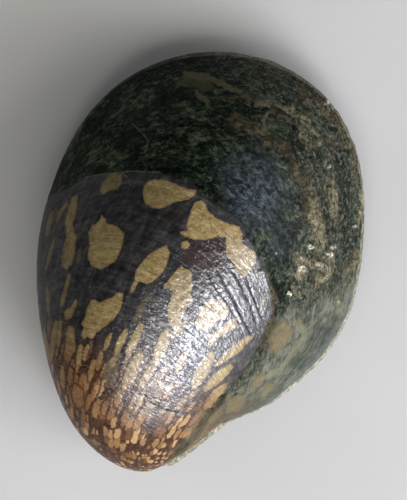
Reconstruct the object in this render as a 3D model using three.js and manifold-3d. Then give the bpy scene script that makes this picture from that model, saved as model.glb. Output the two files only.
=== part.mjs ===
// Nerite snail, life size, at rest with its shell drawn down over the body.
// Units are millimetres, +Z is up, the floor is z = 0 and the head faces -Y.
//
// The shell is a self-similar spiral surface: one closed growth loop (the lip)
// is turned about a coiling axis and shrunk at a constant rate. The part of it
// that can be seen from the middle of the body is the outside of the shell.
// The soft body is made of lofted rings and swept tubes.

import * as THREE from 'three';
import { mergeVertices } from 'three/addons/utils/BufferGeometryUtils.js';
import Module from 'manifold-3d';

// ---------------------------------------------------------------- dimensions
const SHELL_LIFT = 1.3;          // the shell's lip plane above its own zero
const RIM_MEAN = 0.55;           // height of the shell's edge over that zero
const RIM_TILT = 0.3;            // front of the edge higher, back lower
const SEE = 3.6;                 // height of the point the surface is seen from
const FRAME_SHIFT = [-0.0394, 0.0881];     // brings the box's middle over zero
const WALL_INSET = 0.9;          // how far the left and back wall rounds under
const OUTLINE = [11.419, -0.236, 0.481, -1.343, 0.857, 0.253, 0.089, 0.003,
  -0.271, -0.146, -0.056, 0.014, 0.011];   // outline from above, mean, cos/sin
const NOTCH = { at: -1.501, width: 0.25, dip: 1.384, step: 0.598 };

const COIL = new THREE.Vector3(-0.138, -10.206, 2.689);  // apex of the spiral
const COIL_AZIMUTH = 2.3801;     // direction of the coiling axis, radians
const COIL_ELEVATION = -0.2773;
const GROWTH = 2.2295;           // radians of turn for one e-fold of size
const LOOP_CENTRE = [-1.0273, 0.511];
const LOOP_RADIUS = [11.1518, 0.9158, 0.4198, -0.9562, 0.7952, 0.1618, -0.0329,
  -0.1109, -0.1865, -0.1007, 0.0072];                    // mean, then cos/sin
const LOOP_HEIGHT = [0.4995, -0.1237, 0.1205, -0.2009, -0.0293];

const SPIRE_RADIUS = 1.35;       // worn cap of the first whorls
const SPIRE_SINK = 0.35;         // how far its centre lies inside the apex
const SPIRE_CUT = 1.45;          // radius of the separate spire piece
const GAP = 0.3;                 // clearance between neighbouring pieces

const INNER_WIDTH = 0.87;        // inside of the shell against its outside
const INNER_DEPTH = 0.46;
const BODY_WIDTH = 0.815;        // the body mass against the shell's outside
const BODY_DEPTH = 0.415;
const LIP_START = 0.945;         // where the lip band begins, 0 crown, 1 edge
const SHELL_GRID = 28;           // cells across the dome

const DECK_FRONT = -3.4;         // straight free edge of the columellar shelf
const DECK_BOTTOM = 2.35;
const DECK_TOP = 3.15;
const DECK_TEETH = 5;

const SOLE_CENTRE = [-0.35, -0.3];
const SOLE_HALF_WIDTH = 6.5;
const SOLE_HALF_LENGTH = 8.7;
const BODY_LEAN = 0.11;          // sideways lean of the body's long axis
const FOOT_EDGE = 1.15;          // thickness of the foot's free margin

const TENTACLE_ROOT = 0.42;      // radii
const TENTACLE_TIP = 0.27;
const EYE_RADIUS = 0.24;

// -------------------------------------------------------------- small helpers
const axis = new THREE.Vector3(
  Math.cos(COIL_ELEVATION) * Math.cos(COIL_AZIMUTH),
  Math.cos(COIL_ELEVATION) * Math.sin(COIL_AZIMUTH),
  Math.sin(COIL_ELEVATION));

const smooth = (a, b, x) => {
  const t = Math.min(1, Math.max(0, (x - a) / (b - a)));
  return t * t * (3 - 2 * t);
};

function series(c, angle) {
  let v = c[0];
  for (let k = 1; 2 * k < c.length + 1; k++) {
    v += c[2 * k - 1] * Math.cos(k * angle) + (c[2 * k] || 0) * Math.sin(k * angle);
  }
  return v;
}

// point of the spiral surface: turn <= 0 goes back in growth, around = 0..2 pi
function spiral(turn, around) {
  const r = series(LOOP_RADIUS, around);
  const p = new THREE.Vector3(
    LOOP_CENTRE[0] + r * Math.cos(around),
    LOOP_CENTRE[1] + r * Math.sin(around),
    series(LOOP_HEIGHT, around)).sub(COIL);
  return p.applyAxisAngle(axis, turn).multiplyScalar(Math.exp(turn / GROWTH)).add(COIL);
}

// ---------------------------------------------- the shell's outer surface
// The surface is kept as a table of distances from an inner point, one row for
// every 2 degrees down from the crown and one column for every 2 degrees round.
const ROWS = 66, COLS = 180, STEP = Math.PI / 90;
const rowAngle = (i) => Math.max(1e-4, i * STEP);
const colAngle = (j) => j * STEP - Math.PI;
const eye0 = new THREE.Vector3(0, 0, SEE);
const direction = (a, p) =>
  new THREE.Vector3(Math.sin(a) * Math.cos(p), Math.sin(a) * Math.sin(p), Math.cos(a));

// starting guesses: samples of the spiral sorted by direction, outermost kept
const TURNS = 260, AROUNDS = 300, OLDEST = -6.6;
const A_BINS = 60, P_BINS = 120;
const starts = new Array(A_BINS * P_BINS).fill(null);
const binOf = (v, rho) => [
  Math.min(A_BINS - 1, Math.floor(Math.acos(Math.max(-1, Math.min(1, v.z / rho))) / Math.PI * A_BINS)),
  Math.floor((Math.atan2(v.y, v.x) + Math.PI) / (2 * Math.PI) * P_BINS) % P_BINS];
for (let i = 0; i <= TURNS; i++) {
  for (let j = 0; j < AROUNDS; j++) {
    const turn = OLDEST * (1 - i / TURNS), around = 2 * Math.PI * j / AROUNDS;
    const v = spiral(turn, around).sub(eye0);
    const rho = v.length();
    const [a, p] = binOf(v, rho);
    const k = a * P_BINS + p;
    if (!starts[k] || starts[k][2] < rho) starts[k] = [turn, around, rho];
  }
}

// distance from the inner point to the outside of the spiral along one direction
function reach(dir) {
  const [a0, p0] = binOf(dir, 1);
  let best = 0;
  const e = 1e-5;
  for (let da = -1; da <= 1; da++) for (let dp = -1; dp <= 1; dp++) {
    const a = Math.min(A_BINS - 1, Math.max(0, a0 + da));
    const start = starts[a * P_BINS + (p0 + dp + P_BINS) % P_BINS];
    if (!start) continue;
    let [t, u, r] = start;
    for (let it = 0; it < 8; it++) {
      const f = spiral(t, u).sub(eye0).addScaledVector(dir, -r);
      if (it > 2 && f.lengthSq() < 1e-10) break;
      const ft = spiral(t + e, u).sub(spiral(t - e, u)).divideScalar(2 * e);
      const fu = spiral(t, u + e).sub(spiral(t, u - e)).divideScalar(2 * e);
      const m = new THREE.Matrix3().set(ft.x, fu.x, -dir.x, ft.y, fu.y, -dir.y, ft.z, fu.z, -dir.z);
      if (Math.abs(m.determinant()) < 1e-9) break;
      const s = f.negate().applyMatrix3(m.invert());
      t += Math.max(-0.2, Math.min(0.2, s.x));
      u += Math.max(-0.2, Math.min(0.2, s.y));
      r += s.z;
    }
    const miss = spiral(t, u).sub(eye0).addScaledVector(dir, -r).length();
    if (miss < 1e-3 && t < 1e-3 && t > -7 && r > best && r < 20) best = r;
  }
  return best;
}

const deg = (a) => a * 180 / Math.PI;
const turned = (d) => ((d + 180) % 360 + 360) % 360 - 180;
const bump = (a, p, a0, p0, sa, sp) =>
  Math.exp(-(((deg(a) - a0) / sa) ** 2) - ((turned(deg(p) - p0) / sp) ** 2));
const rimHeight = (psi) => RIM_MEAN + RIM_TILT * Math.sin(psi - 0.349);
function outline(psi) {
  const d = turned(deg(psi - NOTCH.at)) * Math.PI / 180 / NOTCH.width;
  return series(OUTLINE, psi) - NOTCH.dip * Math.exp(-d * d)
    - NOTCH.step * Math.tanh(d) * Math.exp(-((d / 3) ** 2));
}

let R = [];
for (let i = 0; i < ROWS; i++) {
  R.push([]);
  for (let j = 0; j < COLS; j++) R[i].push(i === 0 ? 0 : reach(direction(rowAngle(i), colAngle(j))));
}
const mean = (v) => v.reduce((x, y) => x + y, 0) / v.length;
R[0].fill(mean(R[1].filter((v) => v > 0)));
for (let i = 1; i < 5; i++) {
  const m = mean(R[i].filter((v) => v > 0));
  R[i] = R[i].map((v) => v || m);
}
// below the edge the surface is carried on downwards
for (let j = 0; j < COLS; j++) {
  let last = ROWS - 1;
  while (R[last][j] === 0) last--;
  const d = deg(colAngle(j));
  if (d > -179 && d < -95) last = Math.min(last, 50);
  for (let i = 1; i < last; i++) if (R[i][j] === 0) R[i][j] = R[i - 1][j];
  const s = Math.max(-0.3, Math.min(0.45, R[last][j] - R[last - 1][j]));
  for (let i = last + 1; i < ROWS; i++) R[i][j] = R[i - 1][j] + s * 0.8 ** (i - last);
}
function soften(weight, rounds) {
  for (let n = 0; n < rounds; n++) {
    R = R.map((row, i) => row.map((v, j) => {
      const w = weight(rowAngle(i), colAngle(j));
      if (w < 1e-3) return v;
      const m = (R[Math.max(0, i - 1)][j] + R[Math.min(ROWS - 1, i + 1)][j]
        + row[(j + 1) % COLS] + row[(j + COLS - 1) % COLS]) / 4;
      return v + w * (m - v);
    }));
  }
}
// the hollow beside the first whorls is filled, then capped by their worn dome
soften((a, p) => bump(a, p, 92, -78, 16, 16), 70);
const cap = COIL.clone().addScaledVector(axis, SPIRE_SINK).sub(eye0);
R = R.map((row, i) => row.map((v, j) => {
  const b = direction(rowAngle(i), colAngle(j)).dot(cap);
  const d2 = b * b - cap.lengthSq() + SPIRE_RADIUS * SPIRE_RADIUS;
  return d2 > 0 ? Math.max(v, b + Math.sqrt(d2)) : v;
}));
soften((a, p) => 0.8 * bump(a, p, 94, -86, 12, 14), 30);
// the left and back wall comes down from the outline and rounds under
const WALL_ROW = 44;
for (let j = 0; j < COLS; j++) {
  const psi = colAngle(j), d = (deg(psi) + 360) % 360;
  const u = smooth(128, 176, d) * (1 - smooth(246, 268, d));
  if (u <= 0) continue;
  const T = outline(psi), column = R.map((row) => row[j]);
  const g = T / (column[WALL_ROW] * Math.sin(rowAngle(WALL_ROW)));
  const an = [], rn = [];
  for (let i = 0; i <= WALL_ROW; i++) {
    const a = rowAngle(i), w = 1 + (g - 1) * smooth(30, 88, deg(a));
    const h = column[i] * Math.sin(a) * w, z = column[i] * Math.cos(a);
    an.push(Math.atan2(h, z));
    rn.push(Math.hypot(h, z));
  }
  const low = rimHeight(psi) - 0.35, under = T - WALL_INSET;
  for (let i = 0; i < ROWS; i++) {
    const a = rowAngle(i);
    let r;
    if (i <= WALL_ROW) {
      let k = 0;
      while (k < WALL_ROW - 1 && an[k + 1] < a) k++;
      const f = Math.max(0, Math.min(1, (a - an[k]) / (an[k + 1] - an[k])));
      r = rn[k] + f * (rn[k + 1] - rn[k]);
    } else {
      let lo = 4, hi = 16;
      for (let it = 0; it < 24; it++) {
        r = (lo + hi) / 2;
        const z = SEE + r * Math.cos(a);
        const t = Math.max(0, Math.min(1, (SEE - z) / (SEE - low)));
        const limit = z > low ? under + (T - under) * Math.sqrt(Math.max(0, 1 - t ** 2.4)) : under;
        if (r * Math.sin(a) < limit) lo = r; else hi = r;
      }
      r = lo;
    }
    R[i][j] += u * (r - R[i][j]);
  }
}
soften((a, p) => 0.9 * bump(a, p, 90, -150, 16, 75), 6);

const cubic = (p0, p1, p2, p3, f) => p1 + 0.5 * f * (p2 - p0
  + f * (2 * p0 - 5 * p1 + 4 * p2 - p3 + f * (3 * (p1 - p2) + p3 - p0)));
function distance(a, psi) {
  const x = Math.max(0, Math.min(ROWS - 1.001, a / STEP)), i = Math.floor(x);
  const y = (((psi + Math.PI) / STEP) % COLS + COLS) % COLS, j = Math.floor(y);
  const row = (k) => {
    const r = R[Math.max(0, Math.min(ROWS - 1, k))];
    return cubic(r[(j + COLS - 1) % COLS], r[j % COLS], r[(j + 1) % COLS], r[(j + 2) % COLS], y - j);
  };
  return cubic(row(i - 1), row(i), row(i + 1), row(i + 2), x - i);
}
// angle from the crown at which each column comes down to the edge
const edgeColumn = [], sideColumn = [];
for (let j = 0; j < COLS; j++) {
  const z = (i) => SEE + R[i][j] * Math.cos(rowAngle(i)), h = rimHeight(colAngle(j));
  let i = 30;
  while (i < ROWS - 2 && z(i + 1) > h) i++;
  edgeColumn.push(STEP * (i + (z(i) - h) / (z(i) - z(i + 1))));
  let side = 0;
  for (let k = 0; k < 60; k++) {
    const a = (0.5 + 0.5 * k / 59) * edgeColumn[j];
    side = Math.max(side, distance(a, colAngle(j)) * Math.sin(a));
  }
  sideColumn.push(side);
}
const column = (values, psi) => {
  const y = (((psi + Math.PI) / STEP) % COLS + COLS) % COLS, j = Math.floor(y);
  return values[j] + (y - j) * (values[(j + 1) % COLS] - values[j]);
};
// the widths are brought to the outline, its sharp notch only close to the edge
const widen = sideColumn.map((v, j) => outline(colAngle(j)) / v);
const broad = widen.map((v, j) => {
  let s = 0, n = 0;
  for (let k = -12; k <= 12; k++) {
    const w = Math.exp(-((k / 6) ** 2));
    s += w * widen[(j + k + COLS) % COLS];
    n += w;
  }
  return s / n;
});
const domeCache = new Map();
function dome(s, psi) {
  const key = s.toFixed(6) + '/' + psi.toFixed(6);
  if (domeCache.has(key)) return domeCache.get(key).clone();
  const a = s * column(edgeColumn, psi);
  const p = eye0.clone().addScaledVector(direction(a, psi), distance(a, psi));
  const h = Math.min(1, Math.hypot(p.x, p.y) / column(sideColumn, psi));
  const f = column(broad, psi), g = column(widen, psi);
  const k = 1 + (f - 1) * h * h + (g - f) * h ** 10;
  p.x *= k;
  p.y *= k;
  domeCache.set(key, p.clone());
  return p;
}

const half = SHELL_GRID / 2;     // rings across the dome

// the same point moved in: squeezed towards the middle of the edge's plane
function squeezed(p, width, depth) {
  const z0 = rimHeight(Math.atan2(p.y, p.x));
  return new THREE.Vector3(p.x * width, p.y * width, z0 + (p.z - z0) * depth);
}

// closed sheets between an upper and a lower dome, from ring s0 to ring s1
function domeSolid(upper, lower, s0, s1, rings) {
  const pos = [], idx = [];
  const add = (v) => { pos.push(v.x, v.y, v.z + SHELL_LIFT); return pos.length / 3 - 1; };
  const count = 8 * rings;
  const layer = (fn) => {
    const loops = [];
    if (s0 === 0) {
      // nested rings, each with 8 more points than the one inside it
      loops.push([add(fn(0, 0))]);
      for (let k = 1; k <= rings; k++) {
        const loop = [];
        for (let j = 0; j < 8 * k; j++) loop.push(add(fn(s1 * k / rings, 2 * Math.PI * j / (8 * k))));
        loops.push(loop);
      }
    } else {
      for (let k = 0; k <= 1; k++) {
        const loop = [];
        for (let j = 0; j < count; j++) loop.push(add(fn(k ? s1 : s0, 2 * Math.PI * j / count)));
        loops.push(loop);
      }
    }
    return loops;
  };
  const up = layer(upper), dn = layer(lower);
  const tri = (a, b, c, flip) => { if (flip) idx.push(a, c, b); else idx.push(a, b, c); };
  const between = (inner, outer, flip) => {
    // inner and outer are loops about the same centre, with any point counts
    const n = inner.length, m = outer.length;
    if (n === 1) {
      for (let j = 0; j < m; j++) tri(inner[0], outer[j], outer[(j + 1) % m], flip);
      return;
    }
    let i = 0, j = 0;
    while (i < n || j < m) {
      if (j < m && (i >= n || (j + 1) / m <= (i + 1) / n + 1e-9)) {
        tri(inner[i % n], outer[j % m], outer[(j + 1) % m], flip); j++;
      } else {
        tri(inner[i % n], outer[j % m], inner[(i + 1) % n], flip); i++;
      }
    }
  };
  for (let k = 1; k < up.length; k++) { between(up[k - 1], up[k], false); between(dn[k - 1], dn[k], true); }
  const rim = (u, l, flip) => {
    const n = u.length;
    for (let j = 0; j < n; j++) {
      tri(u[j], l[j], u[(j + 1) % n], flip);
      tri(l[j], l[(j + 1) % n], u[(j + 1) % n], flip);
    }
  };
  rim(up[up.length - 1], dn[dn.length - 1], false);
  if (s0 > 0) rim(up[0], dn[0], true);
  return solid(pos, idx);
}

function solid(pos, idx) {
  const g = new THREE.BufferGeometry();
  g.setAttribute('position', new THREE.Float32BufferAttribute(pos, 3));
  g.setIndex(idx);
  return g;
}

// loft of closed rings, ends closed with a fan; rings go round anticlockwise
function loft(rings) {
  const pos = [], idx = [], n = rings[0].length;
  for (const ring of rings) for (const v of ring) pos.push(v.x, v.y, v.z);
  for (let k = 0; k + 1 < rings.length; k++) for (let j = 0; j < n; j++) {
    const a = k * n + j, b = k * n + (j + 1) % n, c = a + n, d = b + n;
    idx.push(a, b, c, b, d, c);
  }
  for (const [k, flip] of [[0, true], [rings.length - 1, false]]) {
    const c = new THREE.Vector3();
    for (const v of rings[k]) c.add(v);
    c.divideScalar(n);
    pos.push(c.x, c.y, c.z);
    const m = pos.length / 3 - 1;
    for (let j = 0; j < n; j++) {
      const a = k * n + j, b = k * n + (j + 1) % n;
      if (flip) idx.push(m, b, a); else idx.push(m, a, b);
    }
  }
  return solid(pos, idx);
}

// oval ring at one height, a little egg-shaped (front wider for egg > 0) and
// leaning to follow the long axis of the shell
function oval(cx, cy, a, b, z, egg = 0, n = 40) {
  const ring = [];
  for (let j = 0; j < n; j++) {
    const t = 2 * Math.PI * j / n;
    const w = a * (1 + egg * Math.sin(t));
    const y = b * Math.sin(t);
    ring.push(new THREE.Vector3(cx + w * Math.cos(t) + BODY_LEAN * (cy - SOLE_CENTRE[1] + y), cy + y, z));
  }
  return ring;
}

// tapering round arm along a curve
function arm(curve, radius, steps = 12, n = 10) {
  const frames = curve.computeFrenetFrames(steps, false);
  const rings = [];
  for (let k = 0; k <= steps; k++) {
    const c = curve.getPointAt(k / steps), r = radius(k / steps);
    const ring = [];
    for (let j = 0; j < n; j++) {
      const t = 2 * Math.PI * j / n;
      ring.push(c.clone().addScaledVector(frames.normals[k], r * Math.cos(t))
        .addScaledVector(frames.binormals[k], r * Math.sin(t)));
    }
    rings.push(ring);
  }
  return loft(rings);
}

// ------------------------------------------------------------ joining, cutting
const wasm = await Module();
wasm.setup();
function toSolid(geometry) {
  let g = geometry.clone();
  g.deleteAttribute('normal');
  g.deleteAttribute('uv');
  g = mergeVertices(g, 1e-5);
  return new wasm.Manifold(new wasm.Mesh({
    numProp: 3,
    vertProperties: new Float32Array(g.attributes.position.array),
    triVerts: new Uint32Array(g.index.array),
  }));
}
function toGeometry(m) {
  const mesh = m.getMesh();
  return solid(Array.from(mesh.vertProperties), Array.from(mesh.triVerts));
}
function ball(centre, r, w = 20, h = 14) {
  const g = new THREE.SphereGeometry(r, w, h);
  g.translate(centre.x, centre.y, centre.z);
  return g;
}

// --------------------------------------------------------------------- shell
const outer = (s, psi) => dome(s, psi);
const inner = (s, psi) => squeezed(dome(s, psi), INNER_WIDTH, INNER_DEPTH);
const seam = GAP / 11;           // the gap as a share of the way to the edge
const whorl = domeSolid(outer, inner, 0, LIP_START - seam, half);
const lip = domeSolid(outer, inner, LIP_START, 1, half);

const spireCentre = COIL.clone().addScaledVector(axis, SPIRE_SINK).add(new THREE.Vector3(0, 0, SHELL_LIFT));
const whorlSolid = toSolid(whorl);
const spire = toGeometry(whorlSolid.intersect(toSolid(ball(spireCentre, SPIRE_CUT))));
const bodyWhorl = toGeometry(whorlSolid.subtract(toSolid(ball(spireCentre, SPIRE_CUT + GAP))));

// least distance from the middle to the shell's inside between two heights
function clearRadius(psi, low, high) {
  let r = 20;
  for (let k = 0; k <= 60; k++) {
    const p = inner(1 - 0.6 * k / 60, psi);
    const z = p.z + SHELL_LIFT;
    if (z > low - 0.15 && z < high + 0.15) r = Math.min(r, Math.hypot(p.x, p.y));
  }
  return Math.min(r, Math.hypot(inner(1, psi).x, inner(1, psi).y));
}

// the flat columellar shelf across the back of the opening, finely toothed
function deckShape() {
  const shape = new THREE.Shape();
  const pts = [];
  const steps = 44;
  for (let k = 0; k <= steps; k++) {
    const psi = Math.PI + 0.36 + (Math.PI - 0.72) * k / steps;
    const r = clearRadius(psi, DECK_BOTTOM, DECK_TOP) - GAP;
    pts.push(new THREE.Vector2(r * Math.cos(psi), r * Math.sin(psi)));
  }
  shape.moveTo(pts[0].x, DECK_FRONT);
  for (const p of pts) if (p.y < DECK_FRONT) shape.lineTo(p.x, p.y);
  const right = pts[pts.length - 1].x, left = pts[0].x;
  shape.lineTo(right, DECK_FRONT);
  const toothSpan = 4.4, tooth = toothSpan / DECK_TEETH;
  for (let k = 0; k < DECK_TEETH; k++) {
    const x = (left + right) / 2 + toothSpan / 2 - k * tooth;
    shape.lineTo(x, DECK_FRONT);
    shape.lineTo(x - tooth * 0.5, DECK_FRONT + 0.28);
    shape.lineTo(x - tooth, DECK_FRONT);
  }
  return shape;
}
const deck = new THREE.ExtrudeGeometry(deckShape(), {
  depth: DECK_TOP - DECK_BOTTOM, bevelEnabled: false, steps: 1, curveSegments: 1 });
deck.translate(0, 0, DECK_BOTTOM);

// ---------------------------------------------------------------- soft body
// body mass inside the shell, closed below by a level face
const bodyFloor = DECK_TOP + GAP;
const bodyTop = (s, psi) => squeezed(dome(s, psi), BODY_WIDTH, BODY_DEPTH);
const bodyMass = (() => {
  const full = domeSolid(bodyTop, (s, psi) => {
    const p = bodyTop(s, psi);
    return new THREE.Vector3(p.x * 0.99, p.y * 0.99, rimHeight(psi) - 0.4);
  }, 0, 1, 9);
  const cut = new THREE.BoxGeometry(40, 40, 20);
  cut.translate(0, 0, bodyFloor - 10);
  return toGeometry(toSolid(full).subtract(toSolid(cut)));
})();

const [fx, fy] = SOLE_CENTRE;
const fw = SOLE_HALF_WIDTH, fl = SOLE_HALF_LENGTH;
const foot = loft([
  oval(fx, fy, fw, fl, 0, 0.05),
  oval(fx, fy, fw + 0.22, fl + 0.22, 0.3, 0.05),
  oval(fx, fy, fw + 0.2, fl + 0.2, 0.75, 0.05),
  oval(fx, fy, fw - 0.35, fl - 0.35, FOOT_EDGE, 0.05),
  oval(fx, fy + 1.6, fw - 1.1, fl - 2.6, FOOT_EDGE + 0.25, 0.04),
  oval(fx, fy + 2.1, fw - 1.35, fl - 4.3, 2.1, 0.03),
  oval(fx, fy + 2.1, fw - 1.2, fl - 4.3, bodyFloor - GAP, 0.03),
]);

// round-edged horny lid carried on the back of the foot, under the shelf
const operculum = loft([
  oval(-0.6, -6.4, 3.3, 1.9, 1.62, -0.12, 32),
  oval(-0.6, -6.4, 3.7, 2.2, 1.8, -0.12, 32),
  oval(-0.6, -6.4, 3.7, 2.2, 1.95, -0.12, 32),
  oval(-0.6, -6.4, 3.4, 1.95, 2.05, -0.12, 32),
]);

// head: broad short snout that reaches down in front of the foot
const hx = 0.5;
function headRing(y, z, w, h, tilt = 0, n = 28) {
  const ring = [];
  for (let j = 0; j < n; j++) {
    const t = 2 * Math.PI * j / n;
    const c = Math.cos(t), s = Math.sin(t);
    const x = hx - w * Math.sign(c) * Math.abs(c) ** 0.85;
    const dz = h * Math.sign(s) * Math.abs(s) ** 0.9;
    ring.push(new THREE.Vector3(x, y + dz * tilt, z + dz));
  }
  return ring;
}
const head = loft([
  headRing(6.9, 2.25, 2.2, 0.62),
  headRing(7.5, 2.25, 2.6, 0.78),
  headRing(8.3, 2.2, 2.75, 0.86, 0.1),
  headRing(9.3, 1.98, 2.7, 0.95, 0.25),
  headRing(10.1, 1.6, 2.45, 0.95, 0.4),
  headRing(10.65, 1.3, 2.0, 0.72, 0.45),
  headRing(10.9, 1.15, 1.3, 0.42, 0.45),
]);

function tentacle(side) {
  const curve = new THREE.CatmullRomCurve3([
    new THREE.Vector3(hx + side * 3.0, 8.75, 2.05),
    new THREE.Vector3(hx + side * 3.9, 9.35, 1.75),
    new THREE.Vector3(hx + side * 4.8, 9.75, 1.3),
    new THREE.Vector3(hx + side * 5.7, 9.7, 0.95),
    new THREE.Vector3(hx + side * 6.5, 9.2, 0.8),
  ]);
  return arm(curve, (t) => TENTACLE_ROOT + (TENTACLE_TIP - TENTACLE_ROOT) * t ** 0.8 - (t === 1 ? 0.12 : 0), 14, 10);
}
// short eye stalk at the outer base of each tentacle, the eye set in its tip
const eyeCentre = (side) => new THREE.Vector3(hx + side * 3.4, 8.0, 2.74);
function eyeStalk(side) {
  const tip = eyeCentre(side);
  const root = new THREE.Vector3(hx + side * 2.8, 7.75, 2.62);
  const curve = new THREE.LineCurve3(root, tip.clone().addScaledVector(tip.clone().sub(root).normalize(), 0.06));
  const stalk = arm(curve, (t) => 0.42 - 0.06 * t - (t === 1 ? 0.1 : 0), 5, 12);
  return toGeometry(toSolid(stalk).subtract(toSolid(ball(tip, EYE_RADIUS + 0.05, 12, 8))));
}
const eyeBall = (side) => ball(eyeCentre(side), EYE_RADIUS, 12, 8);

// --------------------------------------------------------------- the model
const colours = {
  whorl: new THREE.MeshStandardMaterial({ color: 0x2f2d2b, roughness: 0.32, metalness: 0 }),
  spire: new THREE.MeshStandardMaterial({ color: 0x8a6a48, roughness: 0.5, metalness: 0 }),
  lip: new THREE.MeshStandardMaterial({ color: 0x77807a, roughness: 0.6, metalness: 0 }),
  deck: new THREE.MeshStandardMaterial({ color: 0xc9c8ba, roughness: 0.35, metalness: 0 }),
  horn: new THREE.MeshStandardMaterial({ color: 0x4a3a34, roughness: 0.4, metalness: 0 }),
  flesh: new THREE.MeshStandardMaterial({ color: 0x3c3a36, roughness: 0.45, metalness: 0 }),
  sole: new THREE.MeshStandardMaterial({ color: 0x6b675c, roughness: 0.5, metalness: 0 }),
  eye: new THREE.MeshStandardMaterial({ color: 0x060606, roughness: 0.1, metalness: 0 }),
};

const snail = new THREE.Group();
function piece(name, geometry, material) {
  const g = geometry.clone();
  g.deleteAttribute('normal');
  g.deleteAttribute('uv');
  const merged = mergeVertices(g, 1e-5);
  // the working frame has the head towards +Y; half a turn faces it to -Y
  const p = merged.attributes.position;
  for (let i = 0; i < p.count; i++) {
    p.setXYZ(i, FRAME_SHIFT[0] - p.getX(i), FRAME_SHIFT[1] - p.getY(i), p.getZ(i));
  }
  merged.computeVertexNormals();
  const mesh = new THREE.Mesh(merged, material);
  mesh.name = name;
  snail.add(mesh);
}

piece('shell_body_whorl', bodyWhorl, colours.whorl);
piece('shell_spire', spire, colours.spire);
piece('shell_lip', lip, colours.lip);
piece('columellar_shelf', deck, colours.deck);
piece('operculum', operculum, colours.horn);
piece('body_mass', bodyMass, colours.flesh);
piece('foot', foot, colours.sole);
piece('head', head, colours.flesh);
piece('tentacle_right', tentacle(1), colours.flesh);
piece('tentacle_left', tentacle(-1), colours.flesh);
piece('eye_stalk_right', eyeStalk(1), colours.flesh);
piece('eye_stalk_left', eyeStalk(-1), colours.flesh);
piece('eye_right', eyeBall(1), colours.eye);
piece('eye_left', eyeBall(-1), colours.eye);
export default snail;
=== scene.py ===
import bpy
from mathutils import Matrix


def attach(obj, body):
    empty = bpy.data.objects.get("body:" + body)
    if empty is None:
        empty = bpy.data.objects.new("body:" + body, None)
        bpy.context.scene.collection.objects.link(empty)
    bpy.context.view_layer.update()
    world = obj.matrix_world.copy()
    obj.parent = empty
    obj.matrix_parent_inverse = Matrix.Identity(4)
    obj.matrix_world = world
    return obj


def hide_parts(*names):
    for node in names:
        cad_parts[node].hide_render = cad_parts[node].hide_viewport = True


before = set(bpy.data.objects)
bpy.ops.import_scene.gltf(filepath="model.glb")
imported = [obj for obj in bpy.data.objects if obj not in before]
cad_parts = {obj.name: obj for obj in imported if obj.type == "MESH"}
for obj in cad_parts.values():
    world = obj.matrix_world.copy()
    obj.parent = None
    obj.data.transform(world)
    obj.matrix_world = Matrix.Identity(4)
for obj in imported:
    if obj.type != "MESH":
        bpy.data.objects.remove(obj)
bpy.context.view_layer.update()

import math

import bmesh
import bpy
import numpy as np
from mathutils import Vector

# Nerite snail, life size, at rest. The working frame below is in millimetres with the
# head towards +y; metres() turns it into the frame of the CAD model.

SHELL_LIFT = 1.3
RIM_MEAN, RIM_TILT = 0.55, 0.3
SEE = 3.6
FRAME_SHIFT = np.array([-0.0394, 0.0881])
WALL_INSET = 0.9
OUTLINE = [11.419, -0.236, 0.481, -1.343, 0.857, 0.253, 0.089, 0.003,
           -0.271, -0.146, -0.056, 0.014, 0.011]
NOTCH_AT, NOTCH_WIDTH, NOTCH_DIP, NOTCH_STEP = -1.501, 0.25, 1.384, 0.598
COIL = np.array([-0.138, -10.206, 2.689])
COIL_AZIMUTH, COIL_ELEVATION = 2.3801, -0.2773
GROWTH = 2.2295
LOOP_CENTRE = [-1.0273, 0.511]
LOOP_RADIUS = [11.1518, 0.9158, 0.4198, -0.9562, 0.7952, 0.1618, -0.0329,
               -0.1109, -0.1865, -0.1007, 0.0072]
LOOP_HEIGHT = [0.4995, -0.1237, 0.1205, -0.2009, -0.0293]
SPIRE_RADIUS, SPIRE_SINK = 1.35, 0.35
DECK_FRONT, DECK_BOTTOM, DECK_TOP, DECK_TEETH = -3.4, 2.35, 3.15, 5
BODY_LEAN, SOLE_Y = 0.11, -0.3
EYE_RADIUS, HX = 0.24, 0.5

AXIS = np.array([math.cos(COIL_ELEVATION) * math.cos(COIL_AZIMUTH),
                 math.cos(COIL_ELEVATION) * math.sin(COIL_AZIMUTH),
                 math.sin(COIL_ELEVATION)])
ROWS, COLS, STEP = 66, 180, math.pi / 90
ROW_A = np.maximum(1e-4, np.arange(ROWS) * STEP)
COL_P = np.arange(COLS) * STEP - math.pi
C0 = np.array([0, 0, SEE])


def metres(p):
    """working millimetres to the frame of the CAD model, in metres"""
    p = np.asarray(p, float)
    out = p.copy()
    out[..., 0] = FRAME_SHIFT[0] - p[..., 0]
    out[..., 1] = FRAME_SHIFT[1] - p[..., 1]
    return out * 0.001


def millimetres(m):
    p = np.asarray(m, float) * 1000
    out = p.copy()
    out[..., 0] = FRAME_SHIFT[0] - p[..., 0]
    out[..., 1] = FRAME_SHIFT[1] - p[..., 1]
    return out


def smooth(a, b, x):
    t = np.clip((x - a) / (b - a), 0, 1)
    return t * t * (3 - 2 * t)


def series(c, ang):
    v = c[0] + 0 * ang
    for k in range(1, (len(c) + 1) // 2):
        v = v + c[2 * k - 1] * np.cos(k * ang)
        if 2 * k < len(c):
            v = v + c[2 * k] * np.sin(k * ang)
    return v


def turned(d):
    return (d + 180) % 360 - 180


def rim_height(psi):
    return RIM_MEAN + RIM_TILT * np.sin(psi - 0.349)


def outline(psi):
    d = np.radians(turned(np.degrees(psi - NOTCH_AT))) / NOTCH_WIDTH
    return (series(OUTLINE, psi) - NOTCH_DIP * np.exp(-d * d)
            - NOTCH_STEP * np.tanh(d) * np.exp(-(d / 3) ** 2))


def direction(a, p):
    return np.stack([np.sin(a) * np.cos(p), np.sin(a) * np.sin(p), np.cos(a)], -1)


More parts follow.
